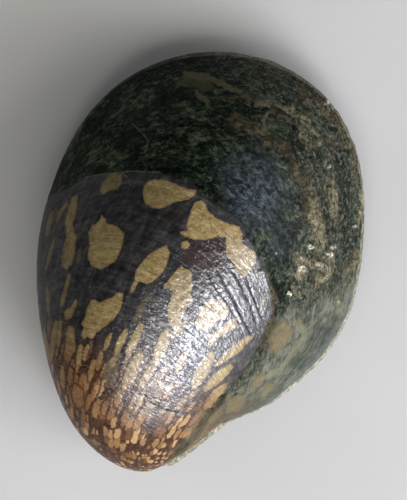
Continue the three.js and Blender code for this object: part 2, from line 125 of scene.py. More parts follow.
def spiral(turn, around):
    r = series(LOOP_RADIUS, around)
    p = np.stack([LOOP_CENTRE[0] + r * np.cos(around), LOOP_CENTRE[1] + r * np.sin(around),
                  series(LOOP_HEIGHT, around)], -1) - COIL
    c, s = np.cos(turn)[..., None], np.sin(turn)[..., None]
    dot = (p @ AXIS)[..., None]
    q = p * c + np.cross(AXIS, p) * s + AXIS * dot * (1 - c)
    return q * np.exp(turn / GROWTH)[..., None] + COIL


def cast():
    """distance, turn and place round the loop of the outermost shell along each direction"""
    g, t = np.meshgrid(np.linspace(-6.6, 0, 420), np.linspace(0, 2 * math.pi, 481)[:-1],
                       indexing="ij")
    v = spiral(g, t) - C0
    rho = np.linalg.norm(v, axis=-1)
    al, ps = np.arccos(v[..., 2] / rho), np.arctan2(v[..., 1], v[..., 0])
    na, npp = 60, 120
    flat = (np.clip((al / math.pi * na).astype(int), 0, na - 1) * npp
            + ((ps + math.pi) / (2 * math.pi) * npp).astype(int) % npp)
    order = np.argsort(rho.ravel(), kind="stable")
    start = np.full(na * npp, -1)
    start[flat.ravel()[order]] = order
    aa, pp = np.meshgrid(ROW_A, COL_P, indexing="ij")
    d = direction(aa.ravel(), pp.ravel())
    ja = np.clip((aa.ravel() / math.pi * na).astype(int), 0, na - 1)
    jp = ((pp.ravel() + math.pi) / (2 * math.pi) * npp).astype(int) % npp
    best = np.zeros(len(d))
    turn, place = np.zeros(len(d)), np.zeros(len(d))
    e = 1e-5
    for da in (-1, 0, 1):
        for dp in (-1, 0, 1):
            k = start[np.clip(ja + da, 0, na - 1) * npp + (jp + dp) % npp]
            ok = k >= 0
            ph, th, r = g.ravel()[k].copy(), t.ravel()[k].copy(), rho.ravel()[k].copy()
            for _ in range(8):
                f = spiral(ph, th) - C0 - r[:, None] * d
                jac = np.stack([(spiral(ph + e, th) - spiral(ph - e, th)) / (2 * e),
                                (spiral(ph, th + e) - spiral(ph, th - e)) / (2 * e), -d],
                               -1) + np.eye(3) * 1e-9
                s = np.linalg.solve(jac, -f[..., None])[..., 0]
                s[:, :2] = np.clip(s[:, :2], -0.2, 0.2)
                ph += s[:, 0]
                th += s[:, 1]
                r += s[:, 2]
            miss = np.linalg.norm(spiral(ph, th) - C0 - r[:, None] * d, axis=1)
            good = ok & (miss < 1e-3) & (ph < 1e-3) & (ph > -7) & (r > best) & (r < 20)
            best[good], turn[good], place[good] = r[good], ph[good], th[good] % (2 * math.pi)
    return best.reshape(aa.shape), turn.reshape(aa.shape), place.reshape(aa.shape)


AA, PP = np.meshgrid(ROW_A, COL_P, indexing="ij")


def bump_of(a0, p0, sa, sp):
    return np.exp(-((np.degrees(AA) - a0) / sa) ** 2 - (turned(np.degrees(PP) - p0) / sp) ** 2)


def soften(r, w, rounds):
    for _ in range(rounds):
        m = (np.vstack([r[:1], r[:-1]]) + np.vstack([r[1:], r[-1:]])
             + np.roll(r, 1, 1) + np.roll(r, -1, 1)) / 4
        r = r + w * (m - r)
    return r


def build_table():
    r, turn, place = cast()
    hit = r > 0
    r[0] = r[1][r[1] > 0].mean()
    for i in range(1, 5):
        r[i][r[i] == 0] = r[i][r[i] > 0].mean()
    for j in range(COLS):
        col = r[:, j]
        last = np.where(col > 0)[0][-1]
        if -179 < math.degrees(COL_P[j]) < -95:
            last = min(last, 50)
        for i in range(1, last):
            if col[i] == 0:
                col[i] = col[i - 1]
        s = np.clip(col[last] - col[last - 1], -0.3, 0.45)
        for i in range(last + 1, ROWS):
            col[i] = col[i - 1] + s * 0.8 ** (i - last)
    r = soften(r, bump_of(92, -78, 16, 16), 70)
    cap = COIL + SPIRE_SINK * AXIS - C0
    b = direction(AA, PP) @ cap
    disc = b * b - cap @ cap + SPIRE_RADIUS ** 2
    r = np.maximum(r, np.where(disc > 0, b + np.sqrt(np.maximum(disc, 0)), 0))
    r = soften(r, 0.8 * bump_of(94, -86, 12, 14), 30)
    wall = 44
    for j in range(COLS):
        psi = COL_P[j]
        d = (math.degrees(psi) + 360) % 360
        u = smooth(128, 176, d) * (1 - smooth(246, 268, d))
        if u <= 0:
            continue
        top, column = outline(psi), r[:, j].copy()
        g = top / (column[wall] * math.sin(ROW_A[wall]))
        a = ROW_A[:wall + 1]
        w = 1 + (g - 1) * smooth(30, 88, np.degrees(a))
        h, z = column[:wall + 1] * np.sin(a) * w, column[:wall + 1] * np.cos(a)
        new = np.empty(ROWS)
        new[:wall + 1] = np.interp(a, np.arctan2(h, z), np.hypot(h, z))
        low, under = rim_height(psi) - 0.35, top - WALL_INSET
        for i in range(wall + 1, ROWS):
            lo, hi = 4.0, 16.0
            for _ in range(24):
                m = (lo + hi) / 2
                zz = SEE + m * math.cos(ROW_A[i])
                t = min(1, max(0, (SEE - zz) / (SEE - low)))
                limit = under + (top - under) * math.sqrt(max(0, 1 - t ** 2.4)) if zz > low else under
                if m * math.sin(ROW_A[i]) < limit:
                    lo = m
                else:
                    hi = m
            new[i] = lo
        r[:, j] = column + u * (new - column)
    r = soften(r, 0.9 * bump_of(90, -150, 16, 75), 6)
    return r, turn, place, hit


R, TURN, PLACE, HIT = build_table()
PLACE = np.where(PLACE > 3.8, PLACE - 2 * math.pi, PLACE)


def fill(values):
    """carries the growth coordinates on over the directions that have none"""
    v = values.copy()
    for j in range(COLS):
        ok = np.where(HIT[:, j])[0]
        ok = ok[ok >= 3]
        first, last = ok[0], ok[-1]
        if -179 < math.degrees(COL_P[j]) < -95:
            last = min(last, 50)
        v[:first, j] = np.nan
        slope = 0.0
        for i in range(first + 1, ROWS):
            if i > last or not HIT[i, j]:
                slope *= 0.9
                v[i, j] = v[i - 1, j] + slope
            else:
                slope = np.clip(v[i, j] - v[i - 1, j], -0.05, 0.05)
    for i in range(4, -1, -1):
        row = v[i]
        bad = np.isnan(row)
        row[bad] = v[i + 1][bad] * 0.5 + np.nanmean(v[i + 1]) * 0.5
    return v


TURN, PLACE = fill(TURN), fill(PLACE)


def cubic(p0, p1, p2, p3, f):
    return p1 + 0.5 * f * (p2 - p0 + f * (2 * p0 - 5 * p1 + 4 * p2 - p3 + f * (3 * (p1 - p2) + p3 - p0)))


def distance(a, psi):
    x = np.clip(a / STEP, 0, ROWS - 1.001)
    i = np.floor(x).astype(int)
    y = ((psi + math.pi) / STEP) % COLS
    j = np.floor(y).astype(int) % COLS

    def row(k):
        q = R[np.clip(k, 0, ROWS - 1)]
        ar = np.arange(len(q))
        return cubic(q[ar, (j - 1) % COLS], q[ar, j], q[ar, (j + 1) % COLS], q[ar, (j + 2) % COLS], y - j)
    return cubic(row(i - 1), row(i), row(i + 1), row(i + 2), x - i)


EDGE, SIDE = np.zeros(COLS), np.zeros(COLS)
for _j in range(COLS):
    _z = SEE + R[:, _j] * np.cos(ROW_A)
    _h = rim_height(COL_P[_j])
    _i = 30
    while _i < ROWS - 2 and _z[_i + 1] > _h:
        _i += 1
    EDGE[_j] = STEP * (_i + (_z[_i] - _h) / (_z[_i] - _z[_i + 1]))
    _a = (0.5 + 0.5 * np.arange(60) / 59) * EDGE[_j]
    SIDE[_j] = (distance(_a, np.full(60, COL_P[_j])) * np.sin(_a)).max()
WIDEN = outline(COL_P) / SIDE
_w = np.exp(-(np.arange(-12, 13) / 6.0) ** 2)
BROAD = sum(_w[k + 12] * np.roll(WIDEN, -k) for k in range(-12, 13)) / _w.sum()


def column(values, psi):
    y = ((psi + math.pi) / STEP) % COLS
    j = np.floor(y).astype(int) % COLS
    return values[j] + (y - np.floor(y)) * (values[(j + 1) % COLS] - values[j])


def dome(s, psi):
    a = s * column(EDGE, psi)
    p = C0 + direction(a, psi) * distance(a, psi)[:, None]
    h = np.minimum(1, np.hypot(p[:, 0], p[:, 1]) / column(SIDE, psi))
    f, g = column(BROAD, psi), column(WIDEN, psi)
    k = 1 + (f - 1) * h * h + (g - f) * h ** 10
    p[:, 0] *= k
    p[:, 1] *= k
    return p


def flared(p, s, psi):
    """turns the lip's edge out into a thin ledge"""
    deg = np.degrees(psi)
    back = smooth(-105, -97, deg) * (1 - smooth(-88, -80, deg))
    side = smooth(-92, -78, deg) * (1 - smooth(20, 60, deg))
    wall = smooth(0.74, 0.88, s) * (1 - smooth(0.945, 0.99, s))
    scale = 1 + back * (0.043 * smooth(0.94, 0.985, s) - 0.032 * wall) - 0.020 * side * wall
    p[:, 0] *= scale
    p[:, 1] *= scale
    return p


def squeezed(p, width, depth):
    z0 = rim_height(np.arctan2(p[:, 1], p[:, 0]))
    return np.stack([p[:, 0] * width, p[:, 1] * width, z0 + (p[:, 2] - z0) * depth], -1)


def at_table(table, a, psi):
    """bilinear, or the nearest value where the table jumps"""
    x = np.clip(a / STEP, 0, ROWS - 1.001)
    i = np.floor(x).astype(int)
    y = ((psi + math.pi) / STEP) % COLS
    j = np.floor(y).astype(int) % COLS
    fx, fy = x - i, y - np.floor(y)
    c = [table[i, j], table[i + 1, j], table[i, (j + 1) % COLS], table[i + 1, (j + 1) % COLS]]
    v = (c[0] * (1 - fx) + c[1] * fx) * (1 - fy) + (c[2] * (1 - fx) + c[3] * fx) * fy
    near = table[np.where(fx < 0.5, i, i + 1), np.where(fy < 0.5, j, (j + 1) % COLS)]
    spread = np.max(c, 0) - np.min(c, 0)
    return np.where(spread > 1.2, near, v)


# ------------------------------------------------------------------ noise for the geometry
def _hash(ix, iy, iz, seed):
    h = (ix.astype(np.int64) * 374761393 + iy.astype(np.int64) * 668265263
         + iz.astype(np.int64) * 2147483647 + seed * 1274126177) & 0xFFFFFFFF
    h = ((h ^ (h >> 13)) * 1274126177) & 0xFFFFFFFF
    h = ((h ^ (h >> 16)) * 2246822519) & 0xFFFFFFFF
    return ((h ^ (h >> 15)) & 0xFFFFFF) / float(0xFFFFFF)


def noise(p, size, seed=0):
    """smooth value noise from -1 to 1 with features of the given size"""
    q = p / size
    b = np.floor(q).astype(np.int64)
    f = q - b
    f = f * f * f * (f * (f * 6 - 15) + 10)
    v = 0
    for dx in (0, 1):
        for dy in (0, 1):
            for dz in (0, 1):
                w = (f[:, 0] if dx else 1 - f[:, 0]) * (f[:, 1] if dy else 1 - f[:, 1]) * (
                    f[:, 2] if dz else 1 - f[:, 2])
                v = v + w * _hash(b[:, 0] + dx, b[:, 1] + dy, b[:, 2] + dz, seed)
    return 2 * v - 1


def layers(p, size, octaves, seed=0):
    v, amp, total = 0, 1.0, 0
    for k in range(octaves):
        v = v + amp * noise(p, size / 2 ** k, seed + 17 * k)
        total += amp
        amp *= 0.55
    return v / total


# ------------------------------------------------------------------ camera
EYE_X, EYE_Y, EYE_Z = 0.093, 0.7465, 300.0
FOCAL_PX = 500 / 2 / (15.55 / 296.5)


def seen_at(p):
    """where a point of the working frame falls in a 407 x 500 picture from straight above"""
    k = FOCAL_PX / (EYE_Z - p[:, 2])
    return np.stack([203.5 + (p[:, 0] - EYE_X) * k, 250 - (p[:, 1] - EYE_Y) * k], -1)


cam_data = bpy.data.cameras.new("camera")
cam_data.sensor_width = 36
cam_data.lens = 18 * 296.5 / 15.55
cam_data.clip_start, cam_data.clip_end = 0.01, 10
cam = bpy.data.objects.new("camera", cam_data)
bpy.context.scene.collection.objects.link(cam)
cam.location = Vector([float(x) for x in metres([EYE_X, EYE_Y, EYE_Z])])
cam.rotation_euler = (0, 0, math.pi)
bpy.context.scene.camera = cam


# ------------------------------------------------------------------ mesh helpers
def between(inner, outer, out, flip=False):
    n, m = len(inner), len(outer)
    if n == 1:
        for j in range(m):
            a, b, c = inner[0], outer[j], outer[(j + 1) % m]
            out.append((a, c, b) if flip else (a, b, c))
        return
    i = j = 0
    while i < n or j < m:
        if j < m and (i >= n or (j + 1) / m <= (i + 1) / n + 1e-9):
            a, b, c = inner[i % n], outer[j % m], outer[(j + 1) % m]
            j += 1
        else:
            a, b, c = inner[i % n], outer[j % m], inner[(i + 1) % n]
            i += 1
        out.append((a, c, b) if flip else (a, b, c))


def normals_of(p, tris):
    t = np.asarray(tris)
    n = np.cross(p[t[:, 1]] - p[t[:, 0]], p[t[:, 2]] - p[t[:, 0]])
    out = np.zeros_like(p)
    for k in range(3):
        np.add.at(out, t[:, k], n)
    return out / (np.linalg.norm(out, axis=1, keepdims=True) + 1e-12)


def make_object(name, points_m, faces, smooth_shade=True):
    mesh = bpy.data.meshes.new(name)
    mesh.from_pydata([tuple(map(float, v)) for v in points_m], [], [tuple(map(int, f)) for f in faces])
    mesh.update()
    if smooth_shade:
        mesh.polygons.foreach_set("use_smooth", [True] * len(mesh.polygons))
    o = bpy.data.objects.new(name, mesh)
    bpy.context.scene.collection.objects.link(o)
    return o


def put(o, name, values):
    values = np.asarray(values, np.float32)
    if values.ndim == 2:
        o.data.attributes.new(name, "FLOAT_VECTOR", "POINT").data.foreach_set("vector", values.ravel())
    else:
        o.data.attributes.new(name, "FLOAT", "POINT").data.foreach_set("value", values)


def signed(q, poly):
    """signed distance to a closed outline, positive inside"""
    poly = np.asarray(poly, float)
    d = np.full(len(q), 1e9)
    inside = np.zeros(len(q), bool)
    for k in range(len(poly)):
        a, b = poly[k], poly[(k + 1) % len(poly)]
        ab = b - a
        t = np.clip(((q - a) @ ab) / (ab @ ab), 0, 1)
        d = np.minimum(d, np.linalg.norm(q - a - t[:, None] * ab, axis=1))
        cross = (a[1] > q[:, 1]) != (b[1] > q[:, 1])
        with np.errstate(divide="ignore", invalid="ignore"):
            xs = a[0] + (q[:, 1] - a[1]) / (b[1] - a[1] if b[1] != a[1] else 1e-9) * (b[0] - a[0])
        inside ^= cross & (q[:, 0] < xs)
    return np.where(inside, d, -d)


def streak(q, a, b, width):
    """signed distance to a long spot from a to b, widest before its middle, pointed at a"""
    a, b = np.asarray(a, float), np.asarray(b, float)
    ab = b - a
    t = ((q - a) @ ab) / (ab @ ab)
    tc = np.clip(t, 0, 1)
    d = np.linalg.norm(q - a - tc[:, None] * ab, axis=1)
    w = width / 2 * (0.25 + 0.75 * np.sin(math.pi * np.clip(tc * 0.86 + 0.1, 0, 1)) ** 0.7)
    return w - d


def line_distance(q, pts):
    d = np.full(len(q), 1e9)
    for a, b in zip(pts[:-1], pts[1:]):
        a, b = np.asarray(a, float), np.asarray(b, float)
        ab = b - a
        t = np.clip(((q - a) @ ab) / (ab @ ab), 0, 1)
        d = np.minimum(d, np.linalg.norm(q - a - t[:, None] * ab, axis=1))
    return d


# ------------------------------------------------------------------ the markings by name
# The large spots, as outlines seen from above.
SPOTS = {
    "glare_a": [(193, 324), (199, 313), (206, 303), (215, 300), (226, 303), (229, 312), (226, 319), (217, 321),
                (212, 327), (205, 333), (199, 331)],
    "glare_b": [(207, 345), (210, 335), (221, 328), (232, 318), (238, 319), (236, 328), (227, 332), (219, 337),
                (213, 346)],
    "small_top": [(115.8, 171.3), (121.3, 173.8), (121.3, 183.8), (116.3, 188.8), (109.5, 190),
                  (102.5, 194.5), (100, 190), (102.5, 182.5), (108, 176.3)],
    "hood": [(143.8, 187.5), (149, 181), (154, 179.5), (166.3, 179.5), (176.3, 183.8), (186.3, 188),
             (197, 190), (195, 195.3), (186.3, 200), (177.5, 201.3), (168.8, 205), (160, 208.8),
             (152.5, 207.5), (145, 203.8), (143, 195)],
    "boot": [(193.8, 202.5), (201.3, 200), (206.3, 206.3), (208.8, 212.5), (217.5, 218.8),
             (230, 223.8), (238.8, 226.3), (242.5, 235), (242, 242.5), (247.5, 247.5), (256, 252.5),
             (256, 262), (252.5, 268), (244, 278), (238, 273), (233, 262), (226, 255), (226, 247.5),
             (225, 237.5), (217.5, 236.3), (210, 238.8), (202.5, 240), (190, 238.5), (179, 234),
             (180, 231.5), (187, 231.5), (186.3, 225), (190, 212.5)],
    "boot_chip": [(181, 242), (187.5, 240), (190, 245), (185, 250), (181, 247.5)],
    "shield": [(101.3, 214.5), (105, 218.8), (106.3, 223.8), (116.3, 226.3), (123.8, 232.5),
               (123.8, 240), (120, 252.5), (115, 261), (107.5, 266), (100, 269.5), (91, 265),
               (87.5, 257.5), (90, 245), (88, 233.8), (92.5, 225), (97.5, 222.5), (100.5, 218.8)],
    "leaf": [(166.3, 245), (168.8, 252.5), (167.5, 262.5), (162.5, 272.5), (155, 280),
             (147.5, 283.8), (140, 281.3), (136.3, 285), (133.8, 291.3), (130.5, 293),
             (131.3, 286.3), (134.5, 280), (135, 271.3), (140, 263.8), (148.8, 255), (157.5, 248.8)],
    "torn": [(118.8, 291.3), (123, 293.8), (122.5, 302.5), (118.8, 312.5), (112.5, 320),
             (105, 326.3), (97.5, 331.3), (93.8, 337.5), (90, 338.8), (86.3, 335), (83.8, 340),
             (81.3, 335), (83.8, 327.5), (81.3, 323.8), (86.3, 315), (87.5, 307.5), (91.3, 300),
             (95.5, 299.5), (98.8, 302.5), (105, 300), (111.3, 297.5)],
    "left_long": [(71.3, 196.3), (77.5, 195), (77.5, 205), (75, 215), (72.5, 225), (76.3, 237.5),
                  (75, 252.5), (71.3, 265), (66.3, 269.5), (61.3, 266.3), (62.5, 252.5),
                  (66.3, 235), (65, 222.5), (67.5, 210)],
    "left_upper": [(57.5, 212.5), (62.5, 205), (67.5, 198.8), (67.5, 205), (62.5, 212.5),
                   (58.8, 220), (56.3, 225)],
    "left_low": [(68.8, 272.5), (71.3, 277.5), (67.5, 290), (63.8, 305), (60, 307.5),
                 (61.3, 297.5), (65, 285)],
    "left_low2": [(76.3, 297.5), (76.3, 305), (72.5, 317.5), (65, 320), (63.8, 312.5), (70, 307.5)],
    "left_low3": [(68.8, 325), (73.8, 326.3), (75, 340), (75, 350), (67.5, 365), (63.8, 357.5),
                  (65, 342.5), (66.3, 332.5)],
    "column": [(180, 266.3), (190, 270), (192.5, 282.5), (190, 293.8), (192.5, 300),
               (187.5, 305), (182.5, 315), (180, 327.5), (173.8, 328.8), (168.8, 322.5),
               (167.5, 310), (170, 300), (173.8, 290), (163.8, 288.8), (163.8, 285), (173.8, 273.8)],
    "lobe_left": [(73.8, 382.5), (82.5, 390), (83.8, 405), (79, 408), (74, 402.5), (71.3, 392.5)],
}
# Long spots: from, to, width.
STREAKS = [
    ((141, 325), (127, 357), 9), ((126, 330), (116, 355), 7), ((140, 354), (124, 388), 12),
    ((111, 334), (105, 350), 5), ((102, 351), (97, 370), 5), ((94, 361), (90, 380), 6),
    ((99, 380), (92, 400), 6), ((90, 395), (87, 409), 5), ((211, 356), (193, 387), 13),
    ((230, 367), (205, 390), 10), ((225, 387), (205, 407), 11), ((250, 337), (217, 365), 8),
    ((251, 375), (230, 392), 9), ((167, 332), (155, 365), 12), ((152, 367), (140, 388), 8),
    ((55, 237), (46, 270), 3), ((60, 322), (58, 346), 5.5), ((47, 288), (49, 314), 4),
    ((56, 322), (51, 360), 5), ((186, 352), (176, 372), 7),
    ((81, 345), (77, 372), 5.5), ((70, 368), (70, 384), 4.5), ((62, 366), (63, 388), 4.5),
    ((186, 322), (172, 338), 6), ((120, 392), (116, 406), 7), ((106, 402), (103, 414), 6),
    ((134, 398), (130, 410), 6), ((172, 385), (164, 398), 6), ((186, 398), (176, 410), 6),
    ((52, 212), (46, 236), 4), ((88, 345), (84, 360), 4.5), ((44, 330), (50, 362), 4),
]
# The same, but dull and low in contrast.
DULL = [
    ((146, 300), (134, 323), 7), ((110, 363), (107, 385), 7), ((116, 366), (113, 386), 5),
    ((262, 375), (254, 388), 8), ((237, 400), (227, 411), 8), ((221, 411), (205, 426), 7),
    ((81, 252), (76, 267), 3), ((204, 412), (192, 424), 6), ((244, 396), (236, 405), 6),
    ((266, 296), (260, 312), 5), ((196, 425), (186, 438), 6), ((209, 425), (201, 436), 3.5), ((195, 441), (188, 448), 4),
    ((271, 385), (262, 394), 6), ((150, 408), (147, 418), 6),
]
DULL_SHAPES = [
    [(270, 327.5), (282.5, 320), (292.5, 327.5), (290, 340), (282.5, 350), (276.3, 355),
     (270, 347.5), (267.5, 337.5)],
    [(176, 80), (190, 76), (205, 73), (212, 79), (214, 90), (200, 90), (188, 83), (178, 84)],
    [(229, 396), (241, 395), (243, 403), (238, 411), (229, 410), (226, 403)],
]
CLEAN = [(25, 225), (52, 196), (84, 178), (112, 172), (140, 172), (168, 174), (192, 184),
         (212, 203), (243, 230), (257, 254), (269, 282), (271, 312), (259, 346), (240, 374), (219, 396),
         (196, 426), (176, 448), (162, 466), (156, 490), (20, 490)]
HAZE = [(290, 306), (274, 330), (264, 350), (243, 378), (222, 400), (199, 430), (179, 450), (165, 466),
        (158, 490), (420, 490), (420, 268), (356, 268), (336, 290), (310, 298)]
CRUST = [(214, 30), (222, 62), (250, 84), (276, 106), (292, 134), (303, 165), (303, 196),
         (298, 222), (292, 246), (288, 266), (290, 290), (302, 306), (328, 296), (350, 272),
         (420, 262), (420, 30)]
# Worn stripes that run with the growth: a line, its half width in pixels.
BROWN_BANDS = [([(232, 120), (258, 133), (283, 148), (300, 172), (309, 192), (313, 212)], 8.0),
               ([(296, 90), (320, 107), (338, 127), (351, 150), (360, 178)], 6.5),
               ([(262, 272), (272, 300), (268, 326), (262, 348)], 6.0),
               ([(318, 262), (328, 268), (322, 280), (312, 286)], 6.0),
               ([(254, 118), (272, 112), (294, 122)], 3.0), ([(228, 98), (246, 96), (262, 104)], 4.0)]
PALE_BANDS = [([(255, 104), (275, 103), (292, 110), (306, 122), (320, 142)], 3.5),
              ([(328, 184), (332, 198), (334, 214)], 6.0), ([(312, 204), (318, 226), (320, 246)], 7.0),
              ([(361, 184), (362, 204), (358, 226)], 3.0), ([(343, 276), (352, 262), (357, 250)], 2.5),
              ([(299, 257), (305, 264), (300, 276)], 7.0), ([(330, 254), (326, 268), (318, 278)], 6.0),
              ([(306, 262), (314, 266), (322, 262)], 3.0), ([(291, 286), (299, 296)], 3.5),
              ([(186, 74), (214, 80), (240, 92)], 4.0), ([(196, 92), (206, 102)], 3.5),
              ([(338, 296), (340, 304)], 3.0), ([(352, 262), (352, 280), (344, 300), (336, 314)], 2.0),
              ([(300, 128), (304, 140), (312, 152)], 3.5), ([(270, 112), (262, 122), (268, 134)], 3.0),
              ([(268, 376), (282, 366), (294, 352)], 4.0), ([(296, 322), (304, 334), (300, 348)], 5.0)]
DARK_BANDS = [([(339, 160), (344, 186), (346, 214), (346, 246)], 7.0), ([(270, 116), (288, 122), (298, 134)], 6.0),
              ([(284, 200), (288, 226), (282, 250), (280, 272)], 8.0), ([(317, 258), (325, 260)], 2.5),
              ([(292, 152), (300, 166)], 4.0), ([(322, 330), (310, 348), (296, 362)], 9.0),
              ([(276, 326), (268, 346), (256, 364)], 5.0), ([(336, 318), (322, 342), (304, 366)], 5.0)]
# the polished patch: a stronger coat there, and the spots inside are paled towards cream as painted highlight
GLAZE_AND_HIGHLIGHT_TINT = [(186, 262), (225, 240), (262, 246), (270, 285), (262, 322), (240, 342), (222, 362), (206, 388),
         (180, 412), (146, 420), (116, 400), (118, 356), (140, 318), (166, 284)]
FURROWS = [[(217, 270), (224, 283), (237, 306), (251, 335)], [(233, 272), (240, 284), (249, 303), (256, 322)],
           [(246, 278), (252, 294), (261, 318)],
           [(139, 394), (152, 397), (166, 401)],
           [(206, 272), (216, 290), (230, 308), (240, 324)], [(150, 402), (164, 409), (178, 412)],
           [(257, 226), (267, 240), (277, 256), (286, 278)]]
SCRATCHES = [[(133, 124), (141, 132), (148, 140), (147, 147), (144, 153)],
             [(85, 178), (96, 175), (107, 174)], [(121, 172), (128, 178), (130, 185)],
             [(107, 174), (130, 171), (160, 172)], [(92, 243), (106, 245), (117, 243)]]
# pale crumbs of the crust: centre and radius in pixels, height in millimetres, paleness; the small ones at (276, 254)
# and (287, 280) on the furrow are painted glints
CRUMBS_AND_GLINTS = [((301, 258), 3.0, 0.22, 1.0), ((329, 254), 3.0, 0.20, 1.0), ((288, 293), 2.8, 0.18, 1.0),
          ((310, 247), 2.6, 0.20, 1.0), ((318, 266), 5.5, 0.14, 0.45), ((332, 247), 4.0, 0.14, 0.5),
          ((300, 268), 6.0, 0.16, 0.5), ((326, 103), 3.4, 0.18, 1.0), ((324, 276), 4.5, 0.10, 0.3),
          ((305, 100), 3.5, 0.10, 0.2), ((336, 132), 3.4, 0.10, 0.2), ((329, 166), 1.6, 0.12, 0.6),
          ((326, 154), 1.6, 0.10, 0.4), ((309, 184), 1.8, 0.12, 0.6), ((345, 168), 3.4, 0.08, 0.2),
          ((348, 215), 3.4, 0.08, 0.2), ((355, 226), 2.4, 0.12, 0.5), ((300, 118), 3.5, 0.08, 0.2),
          ((276, 254), 1.7, 0.10, 0.5), ((287, 280), 1.8, 0.10, 0.4), ((338, 302), 2.4, 0.12, 0.6)]

# ------------------------------------------------------------------ shell
RINGS = 144
INNER_RINGS = 40


def loop_angles(count):
    return 2 * math.pi * np.arange(count) / count


def dome_loops(ring_s, counts):
    s = np.concatenate([np.full(c, v) for v, c in zip(ring_s, counts)])
    psi = np.concatenate([loop_angles(c) if c > 1 else np.zeros(1) for c in counts])
    psi = (psi + math.pi) % (2 * math.pi) - math.pi
    return s, psi


counts = [1] + [8 * k for k in range(1, RINGS + 1)]
ring_s = [k / RINGS for k in range(RINGS + 1)]
S, PSI = dome_loops(ring_s, counts)
P = flared(dome(S, PSI), S, PSI)
starts = np.concatenate([[0], np.cumsum(counts)])
faces = []
loops = [list(range(starts[k], starts[k + 1])) for k in range(len(counts))]
for k in range(1, len(loops)):
    between(loops[k - 1], loops[k], faces)
NORMAL = normals_of(P, faces)

A_OF = S * column(EDGE, PSI)
PHI, THETA = at_table(TURN, A_OF, PSI), at_table(PLACE, A_OF, PSI)
rim_point = flared(dome(np.ones(len(S)), PSI), np.ones(len(S)), PSI)
RIM = np.linalg.norm(P - rim_point, axis=1)
lifted = P + [0, 0, SHELL_LIFT]
Q = seen_at(lifted)
UP = NORMAL[:, 2]
top_side = smooth(-0.05, 0.2, UP)

wobble = np.stack([layers(P, 1.1, 3, 5), layers(P, 1.1, 3, 6)], -1)
QW = Q + 0.9 * wobble

spot = np.full(len(P), -40.0)
for pts in SPOTS.values():
    spot = np.maximum(spot, signed(QW, pts))
for a, b, w in STREAKS:
    spot = np.maximum(spot, streak(QW, a, b, w))
dull = np.full(len(P), -40.0)
for a, b, w in DULL:
    dull = np.maximum(dull, streak(QW, a, b, w))
for pts in DULL_SHAPES:
    dull = np.maximum(dull, signed(QW, pts))
scratch = np.full(len(P), 40.0)
for pts in SCRATCHES:
    scratch = np.minimum(scratch, line_distance(Q, pts))
spot = np.where(UP > -0.02, spot, -40)
dull = np.where(UP > -0.02, dull, -40)
scratch = np.where(UP > 0, scratch, 40)

edge_noise = layers(P, 1.6, 3, 11)
clean = np.clip(signed(Q, CLEAN) + 2.5 * edge_noise, -60, 60)
# below the widest line the worn zone's border runs on towards the coil
drop = smooth(6.3, 3.9, lifted[:, 2]) * smooth(392, 420, Q[:, 1]) * smooth(140, 165, Q[:, 0])
haze = np.clip(signed(Q, HAZE) + 5 * edge_noise, -60, 60)
along_growth = (PHI + 2.05) * 45 + 3 * edge_noise
haze = haze * (1 - drop) + along_growth * drop
clean = clean * (1 - drop) - along_growth * drop
crust = np.clip(signed(Q, CRUST) + 6 * edge_noise, -60, 60)
lipness = smooth(-107, -99, np.degrees(PSI)) * (1 - smooth(70, 110, np.degrees(PSI)))
lipness *= 1 - 0.45 * smooth(-40, 10, np.degrees(PSI))
lip_width = 0.50 + 0.50 * smooth(-106, -98, np.degrees(PSI)) * (1 - smooth(-86, -76, np.degrees(PSI)))
lip_width = lip_width * (1 + 0.35 * layers(P, 0.6, 3, 88))
gloss_and_highlight_tint = smooth(-26, 14, signed(Q, GLAZE_AND_HIGHLIGHT_TINT) + 3 * edge_noise)


def banded(bands, ragged_by):
    out = np.zeros(len(P))
    q = QW + ragged_by
    for pts, half in bands:
        out = np.maximum(out, np.exp(-(line_distance(q, pts) / half) ** 2))
    return out * np.clip(top_side, 0, 1)


ragged_by = 3.0 * np.stack([layers(P, 0.7, 3, 81), layers(P, 0.7, 3, 82)], -1)
brown_band, pale_band, dark_band = (banded(b, ragged_by) for b in (BROWN_BANDS, PALE_BANDS, DARK_BANDS))

lobe = smooth(362, 428, Q[:, 1] + 4 * edge_noise)
lobe_left = smooth(318, 424, Q[:, 1] + 0.45 * np.clip(118 - Q[:, 0], 0, 70) + 7 * edge_noise)
lobe = np.maximum(lobe, lobe_left * (1 - smooth(150, 215, Q[:, 0])))
# painted shade: towards the left edge and the upper left the spots are darkened, as if less light fell there
shade_on_left = np.clip(1.05 * smooth(100, 50, Q[:, 0]) + smooth(212, 176, Q[:, 1]) * smooth(142, 112, Q[:, 0]), 0, 1) * top_side
lobe = np.maximum(lobe, 1 - smooth(-2.2, -1.7, PHI))
maroon = np.exp(-((Q[:, 0] - 208) / 30) ** 2 - ((Q[:, 1] - 255) / 20) ** 2)
maroon = np.maximum(maroon, np.exp(-((Q[:, 0] - 172) / 26) ** 2 - ((Q[:, 1] - 214) / 14) ** 2) * 0.5)
blue = np.exp(-((Q[:, 0] - 256) / 36) ** 2 - ((Q[:, 1] - 192) / 40) ** 2)
blue = np.maximum(blue, 0.5 * np.exp(-((Q[:, 0] - 280) / 26) ** 2 - ((Q[:, 1] - 236) / 34) ** 2))

step_of = lambda f: 0.098 + 0.16 * np.clip((f + 2.5) / 1.0, 0, 1.6)
_f = np.linspace(-7, 0.5, 1500)
_u = np.concatenate([[0], np.cumsum(np.diff(_f) / step_of((_f[1:] + _f[:-1]) / 2))])
U_COORD = np.interp(PHI, _f, _u)
V_COORD = THETA / 0.088
fine = 1 - smooth(-1.75, -1.35, PHI + 0.10 * edge_noise)
fine = fine * smooth(0.6, 3.0, -spot)
wall = smooth(1.9, 2.15, THETA) * smooth(-25, 10, clean) * (1 - top_side)
wall = np.clip(wall, 0, 1)

